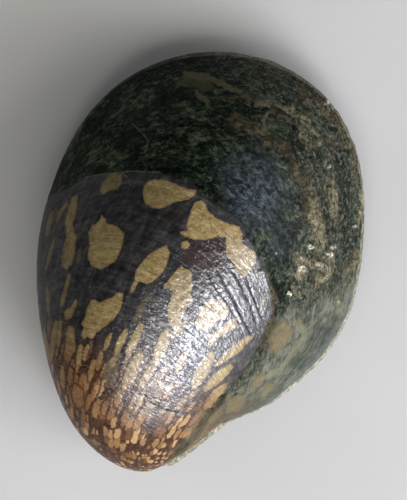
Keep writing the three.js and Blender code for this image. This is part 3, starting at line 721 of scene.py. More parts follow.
# relief, in millimetres along the outward normal
size_here = np.exp(np.clip(PHI, -6, 0) / GROWTH)
crust_mask = smooth(-5, 8, crust)
haze_mask = smooth(-6, 8, haze)
clean_mask = smooth(-3, 5, clean)
growth_co = np.stack([PHI, 0.03 * THETA, 0 * PHI], -1)
relief = size_here * (0.016 * noise(growth_co, 0.022, 3) + 0.022 * noise(growth_co, 0.075, 4))
relief += 0.02 * layers(P, 2.2, 2, 21)
grain = layers(P, 0.75, 4, 31)
lumps = layers(P, 0.42, 3, 35)
relief += crust_mask * (0.075 * grain + 0.075 * lumps + 0.06 * np.abs(layers(P, 1.3, 3, 33)))
relief += 0.10 * brown_band * (0.6 + grain) + 0.07 * pale_band * (0.7 + grain) - 0.07 * dark_band
flow = np.stack([PHI * 2.0, THETA * 9, 0 * PHI], -1)
relief += haze_mask * (0.022 * layers(flow, 0.5, 3, 41) + 0.008 * grain)
relief += (1 - clean_mask) * (1 - crust_mask) * (1 - haze_mask) * (0.03 * layers(P, 0.35, 3, 51) + 0.02 * grain)
relief += clean_mask * top_side * (0.010 * layers(P, 0.45, 3, 55) + 0.007 * gloss_and_highlight_tint * noise(P, 0.24, 56))
relief += clean_mask * 0.012 * layers(np.stack([PHI * 9, THETA * 2.4, 0 * PHI], -1), 0.5, 3, 57)
for k, pts in enumerate(FURROWS):
    d = line_distance(Q + 0.8 * wobble, pts)
    depth = (0.085 if k not in (3, 4, 7, 10) else 0.035) * (0.7 + 0.6 * noise(P, 0.9, 70 + k))
    relief -= top_side * depth * np.exp(-(d / 1.35) ** 2)
    relief += top_side * depth * 0.2 * np.exp(-((d - 3.6) / 2.2) ** 2)
pale_crumb_and_glint = np.zeros(len(P))
rough_px = 2.2 * layers(P, 0.3, 2, 84)
for (cx, cy), r, h, paleness_and_glint in CRUMBS_AND_GLINTS:
    d = np.hypot(QW[:, 0] - cx, QW[:, 1] - cy) + 1.2 * grain + rough_px
    lump = np.exp(-(np.maximum(d, 0) / r) ** 3)
    relief += top_side * h * lump
    pale_crumb_and_glint = np.maximum(pale_crumb_and_glint, lump * paleness_and_glint)
# the spots are a hair thicker than the ground
relief += 0.008 * smooth(-1, 1, spot)
# worn coil of the first whorls
cap_centre = COIL + SPIRE_SINK * AXIS
e1 = np.cross(AXIS, [0, 0, 1.0])
e1 /= np.linalg.norm(e1)
e2 = np.cross(AXIS, e1)
rel_cap = P - cap_centre
ax1, ax2 = rel_cap @ e1, rel_cap @ e2
from_axis = np.hypot(ax1, ax2)
phase = (GROWTH * np.log(np.maximum(from_axis, 0.05) / 1.25) - np.arctan2(ax2, ax1)) % (2 * math.pi)
phase = np.minimum(phase, 2 * math.pi - phase)
near_cap = np.exp(-(np.linalg.norm(rel_cap, axis=1) / 3.0) ** 4)
groove = near_cap * np.exp(-(phase / 0.42) ** 2) * smooth(0.1, 0.4, from_axis)
relief -= 0.24 * groove
relief += 0.08 * near_cap * np.exp(-((phase - 1.7) / 0.9) ** 2)

rim_fade = np.exp(-(RIM / 0.7) ** 2)
relief *= 1 - 0.8 * np.exp(-(RIM / 0.25) ** 2)
P = P + NORMAL * relief[:, None]
# ragged edge
ring_co = np.stack([np.cos(PSI) * 11, np.sin(PSI) * 11, 0 * PSI], -1)
ragged = 0.055 * layers(ring_co, 1.2, 4, 61) + 0.03 * layers(ring_co, 0.35, 2, 62)
worn_side = 0.35 + 0.65 * smooth(-130, -95, np.degrees(PSI)) * (1 - smooth(60, 120, np.degrees(PSI)))
horizontal = P[:, :2] / (np.linalg.norm(P[:, :2], axis=1, keepdims=True) + 1e-9)
P[:, :2] += horizontal * (ragged * worn_side * rim_fade)[:, None]
P[:, 2] += 0.4 * rim_fade * worn_side * 0.06 * layers(ring_co, 0.8, 3, 63)

# rounded lip, then the inside
count_edge = 8 * RINGS
outer_edge = P[-count_edge:]
out_dir = horizontal[-count_edge:]
edge_psi = PSI[-count_edge:]
lip_a, lip_b = outer_edge.copy(), outer_edge.copy()
lip_a[:, :2] -= out_dir * 0.07
lip_a[:, 2] -= 0.09
lip_b[:, :2] -= out_dir * 0.22
lip_b[:, 2] -= 0.07
points = [P, lip_a, lip_b]
base = len(P)
loop_a = list(range(base, base + count_edge))
loop_b = list(range(base + count_edge, base + 2 * count_edge))
between(loops[-1], loop_a, faces)
between(loop_a, loop_b, faces)
base += 2 * count_edge
in_counts = [8 * k for k in range(INNER_RINGS, 0, -1)] + [1]
in_s = [1 - 0.012 - 0.988 * (1 - k / INNER_RINGS) ** 1.0 for k in range(INNER_RINGS, -1, -1)]
in_s[-1] = 0.0
s_in, psi_in = dome_loops(in_s, in_counts)
raw = flared(dome(s_in, psi_in), s_in, psi_in)
w_in = smooth(0.86, 1.0, s_in)[:, None]
inner = squeezed(raw, 0.87, 0.46) * (1 - w_in) + squeezed(raw, 0.972, 0.99) * w_in
points.append(inner)
in_starts = np.concatenate([[0], np.cumsum(in_counts)]) + base
in_loops = [list(range(in_starts[k], in_starts[k + 1])) for k in range(len(in_counts))]


def stitch(a, b, out):
    """joins two loops that start at the same angle; a is outside b"""
    if len(b) == 1:
        between(b, a, out, True)
    else:
        between(b, a, out, True)


stitch(loop_b, in_loops[0], faces)
for k in range(1, len(in_loops)):
    stitch(in_loops[k - 1], in_loops[k], faces)
ALL = np.concatenate(points)
extra = len(ALL) - len(P)


def grown(v, value=0.0):
    if v.ndim == 2:
        return np.concatenate([v, np.full((extra, v.shape[1]), value)])
    return np.concatenate([v, np.full(extra, value)])


shell = make_object("shell", metres(ALL + [0, 0, SHELL_LIFT]), faces)
inner_flag = np.concatenate([np.zeros(len(P)), np.full(count_edge, 0.0), np.full(count_edge, 0.35),
                             np.ones(len(inner))])
rim_all = np.concatenate([RIM, np.zeros(2 * count_edge),
                          np.linalg.norm(inner - squeezed(dome(np.ones(len(s_in)), psi_in), 0.972, 0.99),
                                         axis=1)])
put(shell, "grow", np.stack([
    np.concatenate([U_COORD, U_COORD[-count_edge:], U_COORD[-count_edge:], np.zeros(len(inner))]),
    np.concatenate([V_COORD, V_COORD[-count_edge:], V_COORD[-count_edge:], np.zeros(len(inner))]),
    np.concatenate([PHI, PHI[-count_edge:], PHI[-count_edge:], np.zeros(len(inner))])], -1))
put(shell, "field", np.stack([grown(spot, -40), grown(dull, -40), grown(scratch, 40)], -1))
edge_tail = lambda v: np.concatenate([v, v[-count_edge:], v[-count_edge:], np.zeros(len(inner))])
put(shell, "zone", np.stack([edge_tail(clean), edge_tail(haze), edge_tail(crust)], -1))
put(shell, "shade_on_left", np.stack([edge_tail(shade_on_left)] * 3, -1))
put(shell, "tint", np.stack([edge_tail(lobe), edge_tail(maroon), edge_tail(blue)], -1))
put(shell, "form", np.stack([rim_all, inner_flag, edge_tail(pale_crumb_and_glint)], -1))
furrow_line = np.full(len(P), 30.0)
for pts in FURROWS:
    furrow_line = np.minimum(furrow_line, line_distance(Q + 0.8 * wobble, pts))
furrow_line = np.where(UP > 0, furrow_line, 30)
put(shell, "more", np.stack([edge_tail(fine), edge_tail(wall), edge_tail(relief)], -1))
put(shell, "seams", np.stack([edge_tail(furrow_line), edge_tail(lipness), edge_tail(gloss_and_highlight_tint)], -1))
put(shell, "bands", np.stack([edge_tail(brown_band), edge_tail(pale_band), edge_tail(dark_band)], -1))
put(shell, "apex", np.stack([edge_tail(near_cap), edge_tail(groove), edge_tail(lip_width)], -1))


# ------------------------------------------------------------------ materials
def rgb(r, g, b):
    def lin(c):
        c = c / 255
        return c / 12.92 if c <= 0.04045 else ((c + 0.055) / 1.055) ** 2.4
    return (lin(r), lin(g), lin(b), 1.0)


class Graph:
    """short names for the shader nodes that the materials use"""

    def __init__(self, name):
        self.mat = bpy.data.materials.new(name)
        self.mat.use_nodes = True
        self.tree = self.mat.node_tree
        self.tree.nodes.clear()
        self.out = self.tree.nodes.new("ShaderNodeOutputMaterial")
        self.bsdf = self.tree.nodes.new("ShaderNodeBsdfPrincipled")
        self.tree.links.new(self.bsdf.outputs["BSDF"], self.out.inputs["Surface"])
        co = self.tree.nodes.new("ShaderNodeTexCoord")
        self.mm = self.vector("SCALE", co.outputs["Object"], scale=1000.0)

    def feed(self, socket, value):
        if isinstance(value, bpy.types.NodeSocket):
            self.tree.links.new(value, socket)
        else:
            socket.default_value = value

    def vector(self, op, a, b=None, scale=None):
        n = self.tree.nodes.new("ShaderNodeVectorMath")
        n.operation = op
        self.feed(n.inputs[0], a)
        if b is not None:
            self.feed(n.inputs[1], b)
        if scale is not None:
            self.feed(n.inputs["Scale"], scale)
        return n.outputs[0]

    def math(self, op, a, b=0.0, clamp=False):
        n = self.tree.nodes.new("ShaderNodeMath")
        n.operation = op
        n.use_clamp = clamp
        self.feed(n.inputs[0], a)
        self.feed(n.inputs[1], b)
        return n.outputs[0]

    def add(self, a, b):
        return self.math("ADD", a, b)

    def sub(self, a, b):
        return self.math("SUBTRACT", a, b)

    def mul(self, a, b):
        return self.math("MULTIPLY", a, b)

    def many(self, op, *values):
        v = values[0]
        for w in values[1:]:
            v = self.math(op, v, w)
        return v

    def step(self, x, a, b, to=(0.0, 1.0)):  # falls where a is above b
        n = self.tree.nodes.new("ShaderNodeMapRange")
        n.interpolation_type = "SMOOTHSTEP"
        self.feed(n.inputs["Value"], x)
        self.feed(n.inputs["From Min"], a)
        self.feed(n.inputs["From Max"], b)
        n.inputs["To Min"].default_value, n.inputs["To Max"].default_value = to
        return n.outputs["Result"]

    def mix(self, f, a, b, blend="MIX"):
        n = self.tree.nodes.new("ShaderNodeMix")
        n.data_type = "RGBA"
        n.blend_type = blend
        self.feed(n.inputs[0], f)
        self.feed(n.inputs[6], a)
        self.feed(n.inputs[7], b)
        return n.outputs[2]

    def blend(self, f, a, b):
        n = self.tree.nodes.new("ShaderNodeMix")
        n.data_type = "FLOAT"
        self.feed(n.inputs[0], f)
        self.feed(n.inputs[2], a)
        self.feed(n.inputs[3], b)
        return n.outputs[0]

    def ramp(self, f, stops, mode="LINEAR"):
        n = self.tree.nodes.new("ShaderNodeValToRGB")
        n.color_ramp.interpolation = mode
        e = n.color_ramp.elements
        while len(e) < len(stops):
            e.new(0.5)
        for k, (p, c) in enumerate(stops):
            e[k].position = p
            e[k].color = c
        self.feed(n.inputs[0], f)
        return n.outputs[0]

    def noise(self, vec, scale, detail=3.0, rough=0.5, distort=0.0):
        n = self.tree.nodes.new("ShaderNodeTexNoise")
        n.noise_dimensions = "3D"
        self.feed(n.inputs["Vector"], vec)
        n.inputs["Scale"].default_value = scale
        n.inputs["Detail"].default_value = detail
        n.inputs["Roughness"].default_value = rough
        n.inputs["Distortion"].default_value = distort
        return n.outputs[0]

    def cells(self, vec, scale, feature="F1", dims="2D", random=1.0):
        n = self.tree.nodes.new("ShaderNodeTexVoronoi")
        n.voronoi_dimensions = dims
        n.feature = feature
        self.feed(n.inputs["Vector"], vec)
        n.inputs["Scale"].default_value = scale
        n.inputs["Randomness"].default_value = random
        return n

    def split(self, vec):
        n = self.tree.nodes.new("ShaderNodeSeparateXYZ")
        self.feed(n.inputs[0], vec)
        return n.outputs[0], n.outputs[1], n.outputs[2]

    def join(self, x, y, z=0.0):
        n = self.tree.nodes.new("ShaderNodeCombineXYZ")
        self.feed(n.inputs[0], x)
        self.feed(n.inputs[1], y)
        self.feed(n.inputs[2], z)
        return n.outputs[0]

    def attribute(self, name):
        n = self.tree.nodes.new("ShaderNodeAttribute")
        n.attribute_type = "GEOMETRY"
        n.attribute_name = name
        return self.split(n.outputs["Vector"])

    def bump(self, height, distance, strength=1.0):
        n = self.tree.nodes.new("ShaderNodeBump")
        n.inputs["Strength"].default_value = strength
        n.inputs["Distance"].default_value = distance
        self.feed(n.inputs["Height"], height)
        return n.outputs[0]

    def set(self, **values):
        for key, value in values.items():
            self.feed(self.bsdf.inputs[key.replace("_", " ")], value)


def shell_material():
    g = Graph("shell_surface")
    mm = g.mm
    u, v, phi = g.attribute("grow")
    spot, dull, scratch = g.attribute("field")
    clean, haze, crust = g.attribute("zone")
    lobe, maroon, blue = g.attribute("tint")
    rim, inside, pale_crumb_and_glint = g.attribute("form")
    fine, wall, relief = g.attribute("more")
    furrow, lipness, gloss_and_highlight_tint = g.attribute("seams")
    apex, groove, lip_width = g.attribute("apex")
    brown, pale, dark = g.attribute("bands")

    n_big = g.noise(mm, 0.9, 4, 0.55)
    n_mid = g.noise(mm, 2.6, 4, 0.6)
    n_small = g.noise(mm, 6.0, 3, 0.6)
    n_tiny = g.noise(mm, 13.0, 2, 0.6)
    along = g.noise(g.join(g.mul(phi, 8.0), g.mul(v, 1.4), 0.0), 1.0, 5, 0.58, 0.5)     # runs with the growth
    across = g.noise(g.join(g.mul(phi, 34.0), g.mul(v, 0.16), 0.0), 1.0, 4, 0.6, 0.6)   # growth lines
    lines = g.noise(g.join(g.mul(phi, 95.0), g.mul(v, 0.22), 0.0), 1.0, 3, 0.6, 0.5)

    # --- spots
    w1 = g.sub(g.noise(mm, 3.2, 3, 0.6), 0.5)
    edge = g.add(spot, g.mul(w1, 3.0))
    big = g.step(edge, -0.55, 0.55)
    warp_a = g.mul(g.sub(g.noise(mm, 2.0, 3, 0.6), 0.5), 1.1)
    warp_b = g.mul(g.sub(g.noise(g.vector("ADD", mm, (7.3, 2.1, 4.4)), 2.0, 3, 0.6), 0.5), 0.9)
    fine_co = g.join(g.add(u, warp_a), g.add(v, warp_b), 0.0)
    cell = g.cells(fine_co, 1.0, "F1", "2D", 0.9)
    cr, cg, cb = g.split(cell.outputs["Color"])
    limit = g.many("ADD", 0.25, g.mul(g.sub(cr, 0.5), 0.40), g.mul(lobe, 0.13))
    speck = g.sub(1.0, g.step(g.sub(cell.outputs["Distance"], limit), -0.09, 0.07))
    speck = g.mul(speck, fine)
    wall_co = g.join(g.add(g.mul(phi, 3.4), g.mul(warp_a, 0.25)), g.add(g.mul(v, 0.62), g.mul(warp_b, 0.3)), 0.0)
    wcell = g.cells(wall_co, 1.0, "F1", "2D", 0.9)
    wr, wg, wb = g.split(wcell.outputs["Color"])
    wspeck = g.sub(1.0, g.step(g.sub(wcell.outputs["Distance"], g.add(0.22, g.mul(wr, 0.22))), -0.05, 0.05))
    wspeck = g.mul(wspeck, wall)
    spots = g.math("MAXIMUM", g.math("MAXIMUM", big, speck), wspeck)

    tone = g.many("ADD", g.mul(n_mid, 0.40), g.mul(n_small, 0.32), g.mul(across, 0.28))
    tan = g.ramp(tone, [(0.38, rgb(120, 101, 62)), (0.47, rgb(150, 129, 84)), (0.56, rgb(170, 149, 103)),
                        (0.66, rgb(194, 176, 134))])
    honey = g.ramp(g.add(g.mul(tone, 0.6), g.mul(cg, 0.4)),
                   [(0.3, rgb(98, 66, 40)), (0.5, rgb(142, 106, 67)), (0.7, rgb(182, 148, 103))])
    tan = g.mix(g.step(lobe, 0.1, 0.9), tan, honey)
    tan = g.mix(g.mul(g.sub(1.0, g.step(edge, 0.2, 2.6)), g.mul(big, 0.35)), tan, rgb(98, 66, 34))

    ground = g.ramp(g.many("ADD", g.mul(along, 0.4), g.mul(n_mid, 0.3), g.mul(across, 0.3)),
                    [(0.40, rgb(28, 29, 30)), (0.5, rgb(52, 52, 53)), (0.62, rgb(84, 80, 77))])
    ground = g.mix(g.mul(g.step(g.add(maroon, g.mul(g.sub(n_mid, 0.5), 0.8)), 0.2, 0.8), 0.8),
                   ground, rgb(50, 28, 25))
    warm = g.ramp(g.many("ADD", g.mul(along, 0.4), g.mul(n_small, 0.3), g.mul(across, 0.3)),
                  [(0.38, rgb(38, 24, 15)), (0.5, rgb(66, 42, 27)), (0.62, rgb(98, 66, 44))])
    ground = g.mix(g.step(g.add(lobe, g.mul(g.sub(along, 0.5), 0.6)), -0.05, 0.75), ground, warm)
    # painted shade: on the left and the upper left the spots are darkened to olive and brown
    painted_shade, _b, _c = g.attribute("shade_on_left")
    # painted highlight: inside the polished patch the spots are paled towards cream
    tan = g.mix(g.mul(g.step(gloss_and_highlight_tint, 0.5, 1.0), 0.40), tan, g.ramp(tone, [(0.38, rgb(126, 112, 84)), (0.52, rgb(164, 150, 118)),
                                                                        (0.66, rgb(192, 180, 150))]))
    tan = g.mix(g.mul(painted_shade, g.blend(g.step(lobe, 0.05, 0.7), 0.62, 0.30)), tan, g.mix(g.step(lobe, 0.1, 0.8), g.mix(n_mid, rgb(58, 56, 36), rgb(92, 82, 54)),
                                               g.mix(n_mid, rgb(78, 48, 26), rgb(118, 82, 48))))
    base = g.mix(spots, ground, tan)
    # painted shade: the furrows are coloured near-black along their lines
    base = g.mix(g.mul(g.step(g.add(furrow, g.mul(w1, 1.5)), 1.7, 0.7), 0.85), base, rgb(16, 12, 11))

    # --- dark, pitted top
    mottle = g.noise(g.join(g.mul(phi, 40.0), g.mul(v, 0.85), 0.0), 1.0, 4, 0.6, 1.2)
    patchy = g.noise(mm, 0.55, 3, 0.6)
    worm = g.noise(mm, 1.7, 3, 0.55, 1.4)
    ridge = g.math("ABSOLUTE", g.sub(worm, 0.5))
    top = g.ramp(g.add(g.mul(n_mid, 0.6), g.mul(mottle, 0.4)),
                 [(0.40, rgb(2, 9, 6)), (0.5, rgb(6, 17, 12)), (0.58, rgb(17, 31, 24)), (0.68, rgb(38, 50, 38))])
    top = g.mix(g.mul(g.step(g.noise(mm, 0.8, 4, 0.6, 0.8), 0.50, 0.58), 0.85), top, rgb(2, 8, 6))
    clump = g.noise(g.join(g.mul(phi, 24.0), g.mul(v, 0.75), 2.0), 1.0, 5, 0.6, 1.4)
    top = g.mix(g.mul(g.step(g.add(clump, g.mul(g.sub(patchy, 0.5), 0.5)), 0.53, 0.60), 0.65), top,
                g.ramp(n_mid, [(0.4, rgb(33, 46, 34)), (0.5, rgb(57, 68, 51)), (0.62, rgb(96, 102, 80))]))
    top = g.mix(g.mul(g.step(g.add(mottle, g.mul(g.sub(patchy, 0.5), 0.8)), 0.51, 0.59), 0.8),
                top, g.ramp(n_mid, [(0.4, rgb(32, 46, 34)), (0.5, rgb(62, 74, 57)), (0.62, rgb(108, 113, 90))]))
    top = g.mix(g.mul(g.sub(1.0, g.step(ridge, 0.010, 0.045)), 0.45), top, rgb(62, 70, 52))
    speckle = g.noise(mm, 4.2, 3, 0.65, 0.8)
    top = g.mix(g.mul(g.step(g.add(speckle, g.mul(g.sub(n_mid, 0.5), 0.4)), 0.55, 0.62), 0.5), top,
                g.mix(n_mid, rgb(46, 60, 46), rgb(98, 107, 85)))
    top = g.mix(g.mul(g.step(speckle, 0.47, 0.40), 0.55), top, rgb(2, 7, 5))
    top = g.mix(g.mul(g.step(g.noise(mm, 0.42, 2, 0.5, 0.6), 0.50, 0.40), 0.6), top, rgb(2, 10, 7))
    pit = g.noise(g.join(g.mul(phi, 62.0), g.mul(v, 2.2), 0.0), 1.0, 3, 0.6, 1.0)
    bluish = g.ramp(g.add(g.mul(pit, 0.75), g.mul(n_mid, 0.25)),
                    [(0.40, rgb(20, 25, 29)), (0.48, rgb(46, 53, 60)), (0.56, rgb(72, 80, 88)), (0.66, rgb(104, 110, 112))])
    top = g.mix(g.mul(g.step(g.add(blue, g.mul(g.sub(n_big, 0.5), 1.3)), 0.05, 0.95), 0.9), top, bluish)
    top = g.mix(g.mul(g.step(g.add(brown, g.mul(g.sub(worm, 0.5), 1.4)), 0.35, 0.75), 0.9), top,
                g.ramp(g.add(g.mul(n_mid, 0.5), g.mul(pit, 0.5)),
                       [(0.40, rgb(34, 33, 24)), (0.5, rgb(66, 61, 46)), (0.6, rgb(100, 92, 70))]))
    top = g.mix(g.mul(g.step(g.add(pale, g.mul(g.sub(worm, 0.5), 1.2)), 0.4, 0.8), 0.8), top,
                g.mix(n_mid, rgb(76, 78, 58), rgb(110, 106, 82)))
    top = g.mix(g.mul(lobe, 0.8), top, g.mix(n_mid, rgb(26, 20, 15), rgb(84, 70, 52)))
    base = g.mix(g.step(g.add(clean, g.mul(w1, 7.0)), g.blend(blue, 1.5, 6.0), g.blend(blue, -1.5, -14.0)), base, top)

    # --- grey worn zone beside the lip
    worn = g.noise(mm, 1.1, 4, 0.55, 0.6)
    sweep = g.noise(g.join(g.mul(phi, 12.0), g.mul(v, 0.7), 0.0), 1.0, 4, 0.55, 0.8)
    grey = g.ramp(g.many("ADD", g.mul(along, 0.34), g.mul(worn, 0.33), g.mul(sweep, 0.33)),
                  [(0.38, rgb(50, 53, 46)), (0.46, rgb(74, 77, 67)), (0.54, rgb(96, 98, 84)),
                   (0.64, rgb(126, 125, 107))])
    grey = g.mix(g.mul(g.step(speckle, 0.55, 0.62), 0.30), grey, rgb(132, 131, 114))
    grey = g.mix(g.mul(g.step(speckle, 0.46, 0.40), 0.35), grey, rgb(46, 50, 45))
    grey = g.mix(g.mul(g.step(g.noise(g.join(g.mul(phi, 40.0), g.mul(v, 0.85), 0.0), 1.0, 4, 0.6, 0.8), 0.50, 0.60), 0.6),
                 grey, rgb(124, 125, 107))
    grey = g.mix(g.mul(g.step(g.noise(g.join(g.mul(phi, 34.0), g.mul(v, 0.75), 5.0), 1.0, 4, 0.6, 0.8), 0.53, 0.61), 0.6),
                 grey, rgb(40, 46, 42))
    grey = g.mix(g.mul(g.step(lobe, 0.3, 0.9), 0.65), grey, g.mix(along, rgb(44, 38, 28), rgb(108, 98, 77)))
    grey = g.mix(g.mul(g.step(g.add(pale, g.mul(g.sub(along, 0.5), 1.0)), 0.25, 0.85), 0.55), grey, rgb(122, 120, 96))
    grey = g.mix(g.mul(g.step(g.add(dark, g.mul(g.sub(sweep, 0.5), 0.8)), 0.2, 0.8), 0.42), grey, rgb(48, 56, 53))
    grey = g.mix(g.mul(g.step(rim, 1.5, 0.5), 0.6), grey, g.mix(n_mid, rgb(72, 80, 79), rgb(112, 118, 115)))
    grey_mask = g.step(g.many("ADD", haze, g.mul(g.sub(along, 0.5), 26.0), g.mul(g.sub(worn, 0.5), 26.0)), -9.0, 9.0)
    base = g.mix(g.mul(grey_mask, g.blend(spots, 0.96, 0.72)), base, grey)
    # --- rough crust
    crumb = g.noise(mm, 1.5, 4, 0.58, 1.0)
    crusty = g.ramp(g.many("ADD", g.mul(crumb, 0.6), g.mul(mottle, 0.25), g.mul(n_small, 0.15)),
                    [(0.38, rgb(12, 19, 16)), (0.46, rgb(34, 42, 37)), (0.53, rgb(60, 67, 58)),
                     (0.60, rgb(86, 91, 76)), (0.68, rgb(116, 116, 96))])
    crusty = g.mix(g.mul(g.sub(1.0, g.step(ridge, 0.012, 0.05)), 0.4), crusty, rgb(94, 100, 82))
    crusty = g.mix(g.mul(g.step(g.add(dark, g.mul(g.sub(worm, 0.5), 1.4)), 0.25, 0.75), 0.85), crusty,
                   g.mix(n_mid, rgb(12, 20, 18), rgb(44, 54, 46)))
    crusty = g.mix(g.mul(g.step(g.add(brown, g.mul(g.sub(worm, 0.5), 1.6)), 0.30, 0.75), 0.85), crusty,
                   g.ramp(g.add(g.mul(n_mid, 0.5), g.mul(n_small, 0.5)),
                          [(0.40, rgb(42, 38, 28)), (0.5, rgb(76, 70, 54)), (0.6, rgb(110, 102, 80))]))
    crusty = g.mix(g.mul(g.step(g.add(pale, g.mul(g.sub(worm, 0.5), 1.6)), 0.32, 0.62), 0.92), crusty,
                   g.ramp(g.add(g.mul(n_mid, 0.5), g.mul(n_small, 0.5)),
                          [(0.38, rgb(56, 56, 42)), (0.5, rgb(106, 101, 78)), (0.60, rgb(150, 140, 112))]))
    crusty = g.mix(g.mul(g.step(g.noise(mm, 0.62, 4, 0.6, 0.6), 0.52, 0.62), 0.5), crusty, rgb(74, 66, 48))
    crusty = g.mix(g.mul(g.step(g.noise(mm, 0.7, 4, 0.6, 0.6), 0.54, 0.62), 0.6), crusty, rgb(16, 23, 20))
    crusty = g.mix(g.mul(g.step(speckle, 0.54, 0.62), 0.55), crusty, g.mix(n_mid, rgb(98, 92, 70), rgb(158, 152, 128)))
    crusty = g.mix(g.mul(g.step(speckle, 0.46, 0.39), 0.65), crusty, rgb(10, 16, 13))
    crust_mask = g.step(g.many("ADD", crust, g.mul(g.sub(crumb, 0.5), 50.0), g.mul(g.sub(n_big, 0.5), 40.0)), -12.0, 10.0)
    base = g.mix(g.mul(crust_mask, 0.95), base, crusty)
    # pale crumbs of the crust, and painted glints near white on the furrow
    base = g.mix(g.mul(g.step(g.add(pale_crumb_and_glint, g.mul(g.sub(n_small, 0.5), 0.5)), 0.15, 0.85), 0.95), base,
                 g.mix(g.step(n_small, 0.42, 0.60), rgb(128, 120, 96), rgb(238, 234, 216)))

    d_edge = g.add(dull, g.mul(w1, 7.0))
    faded = g.mix(g.math("MAXIMUM", g.step(g.add(clean, g.mul(w1, 4.0)), -4.0, 4.0), grey_mask), g.mix(n_small, rgb(62, 66, 44), rgb(112, 104, 72)), rgb(118, 104, 76))
    base = g.mix(g.mul(g.step(d_edge, -2.4, 2.0), g.blend(grey_mask, 0.55, g.blend(lobe, 0.72, 0.6))), base, faded)
    base = g.mix(g.mul(g.step(g.add(scratch, g.mul(w1, 2.6)), 1.0, 0.3), 0.42), base, rgb(122, 124, 106))

    # --- the edge of the lip and the inside
    lip = g.ramp(g.add(g.mul(n_small, 0.5), g.mul(n_mid, 0.5)),
                 [(0.40, rgb(104, 108, 98)), (0.5, rgb(146, 145, 124)), (0.60, rgb(196, 190, 162))])
    near = g.add(g.math("DIVIDE", rim, g.math("MAXIMUM", lip_width, 0.1)), g.mul(g.sub(n_mid, 0.5), 0.6))
    lip_on = g.mul(g.step(near, 1.15, 0.80), g.blend(lipness, 0.1, 0.92))
    cap = g.ramp(g.add(g.mul(n_mid, 0.6), g.mul(n_small, 0.4)),
                 [(0.36, rgb(100, 68, 44)), (0.5, rgb(136, 102, 72)), (0.64, rgb(164, 136, 104))])
    base = g.mix(g.mul(g.step(g.add(apex, g.mul(g.sub(n_mid, 0.5), 0.8)), 0.5, 1.0), 0.7), base, cap)
    base = g.mix(g.mul(groove, 0.85), base, rgb(40, 24, 16))
    base = g.mix(lip_on, base, lip)
    nacre = g.ramp(n_big, [(0.3, rgb(150, 158, 156)), (0.55, rgb(182, 184, 174)), (0.75, rgb(204, 200, 184))])
    band = g.ramp(g.noise(mm, 1.8, 3, 0.6), [(0.4, rgb(38, 32, 30)), (0.6, rgb(120, 112, 92))])
    nacre = g.mix(g.step(g.add(rim, g.mul(g.sub(n_mid, 0.5), 0.8)), 1.5, 0.5), nacre, band)
    colour = g.mix(g.step(inside, 0.5, 0.9), base, nacre)

    # --- gloss
    clean_on = g.step(clean, -2.0, 2.0)
    matte = g.math("MAXIMUM", grey_mask, crust_mask)
    shiny = g.mul(clean_on, g.sub(1.0, matte))
    rough = g.blend(shiny, g.blend(matte, 0.5, 0.78), g.add(0.30, g.mul(n_small, 0.16)))
    rough = g.blend(g.step(inside, 0.5, 0.9), rough, 0.24)
    polish = g.add(0.06, gloss_and_highlight_tint)
    cut = g.step(g.many("ADD", furrow, g.mul(w1, 2.6), g.mul(g.sub(n_small, 0.5), 2.2)), 0.3, 1.7)
    coat = g.mul(g.mul(shiny, polish), g.blend(cut, 0.12, 1.0))
    level = g.blend(shiny, g.blend(matte, g.add(0.035, g.mul(blue, 0.28)), 0.10),
                    g.add(0.08, g.mul(g.mul(gloss_and_highlight_tint, 0.6), g.blend(cut, 0.28, 1.0))))
    weave = g.noise(g.join(g.mul(phi, 44.0), g.mul(v, 1.2), 0.0), 1.0, 2, 0.5, 0.4)
    hammer = g.noise(mm, 3.4, 1, 0.5, 0.3)
    pits = g.cells(g.join(g.add(g.mul(phi, 36.0), g.mul(w1, 1.6)), g.add(g.mul(v, 1.25), g.mul(w1, 1.2)), 0.0), 1.0, "F1", "2D", 1.0)
    pr, pg, pb = g.split(pits.outputs["Color"])
    dints = g.step(g.sub(pits.outputs["Distance"], g.mul(pr, 0.34)), -0.06, 0.16)
    grooves = g.step(g.noise(g.join(g.mul(phi, 52.0), g.mul(v, 0.20), 3.0), 1.0, 2, 0.5, 0.6), 0.40, 0.47)
    gloss_height = g.many("ADD", g.mul(lines, 0.2), g.mul(weave, 0.55), g.mul(hammer, 0.4), g.mul(dints, 0.28),
                          g.mul(grooves, 0.28), g.mul(n_tiny, 0.08))
    matte_height = g.many("ADD", g.mul(worn, 0.8), g.mul(n_tiny, 0.5), g.mul(crumb, 1.2), g.mul(n_small, 0.4))
    dark_height = g.many("ADD", g.mul(pit, 1.5), g.mul(n_tiny, 0.4), g.mul(mottle, 0.5))
    height = g.blend(matte, g.blend(clean_on, dark_height, gloss_height), matte_height)
    g.set(Base_Color=colour, Roughness=rough, Normal=g.bump(height, 0.00007, 0.9), Coat_Weight=coat, Specular_IOR_Level=level)
    g.bsdf.inputs["Coat Roughness"].default_value = 0.15
    g.bsdf.inputs["Coat IOR"].default_value = 1.9
    g.bsdf.inputs["IOR"].default_value = 1.5
    g.tree.links.new(g.bump(gloss_height, 0.00016, 0.9), g.bsdf.inputs["Coat Normal"])
    return g.mat


shell.data.materials.append(shell_material())
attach(shell, "root")
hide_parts("shell_body_whorl", "shell_spire", "shell_lip")


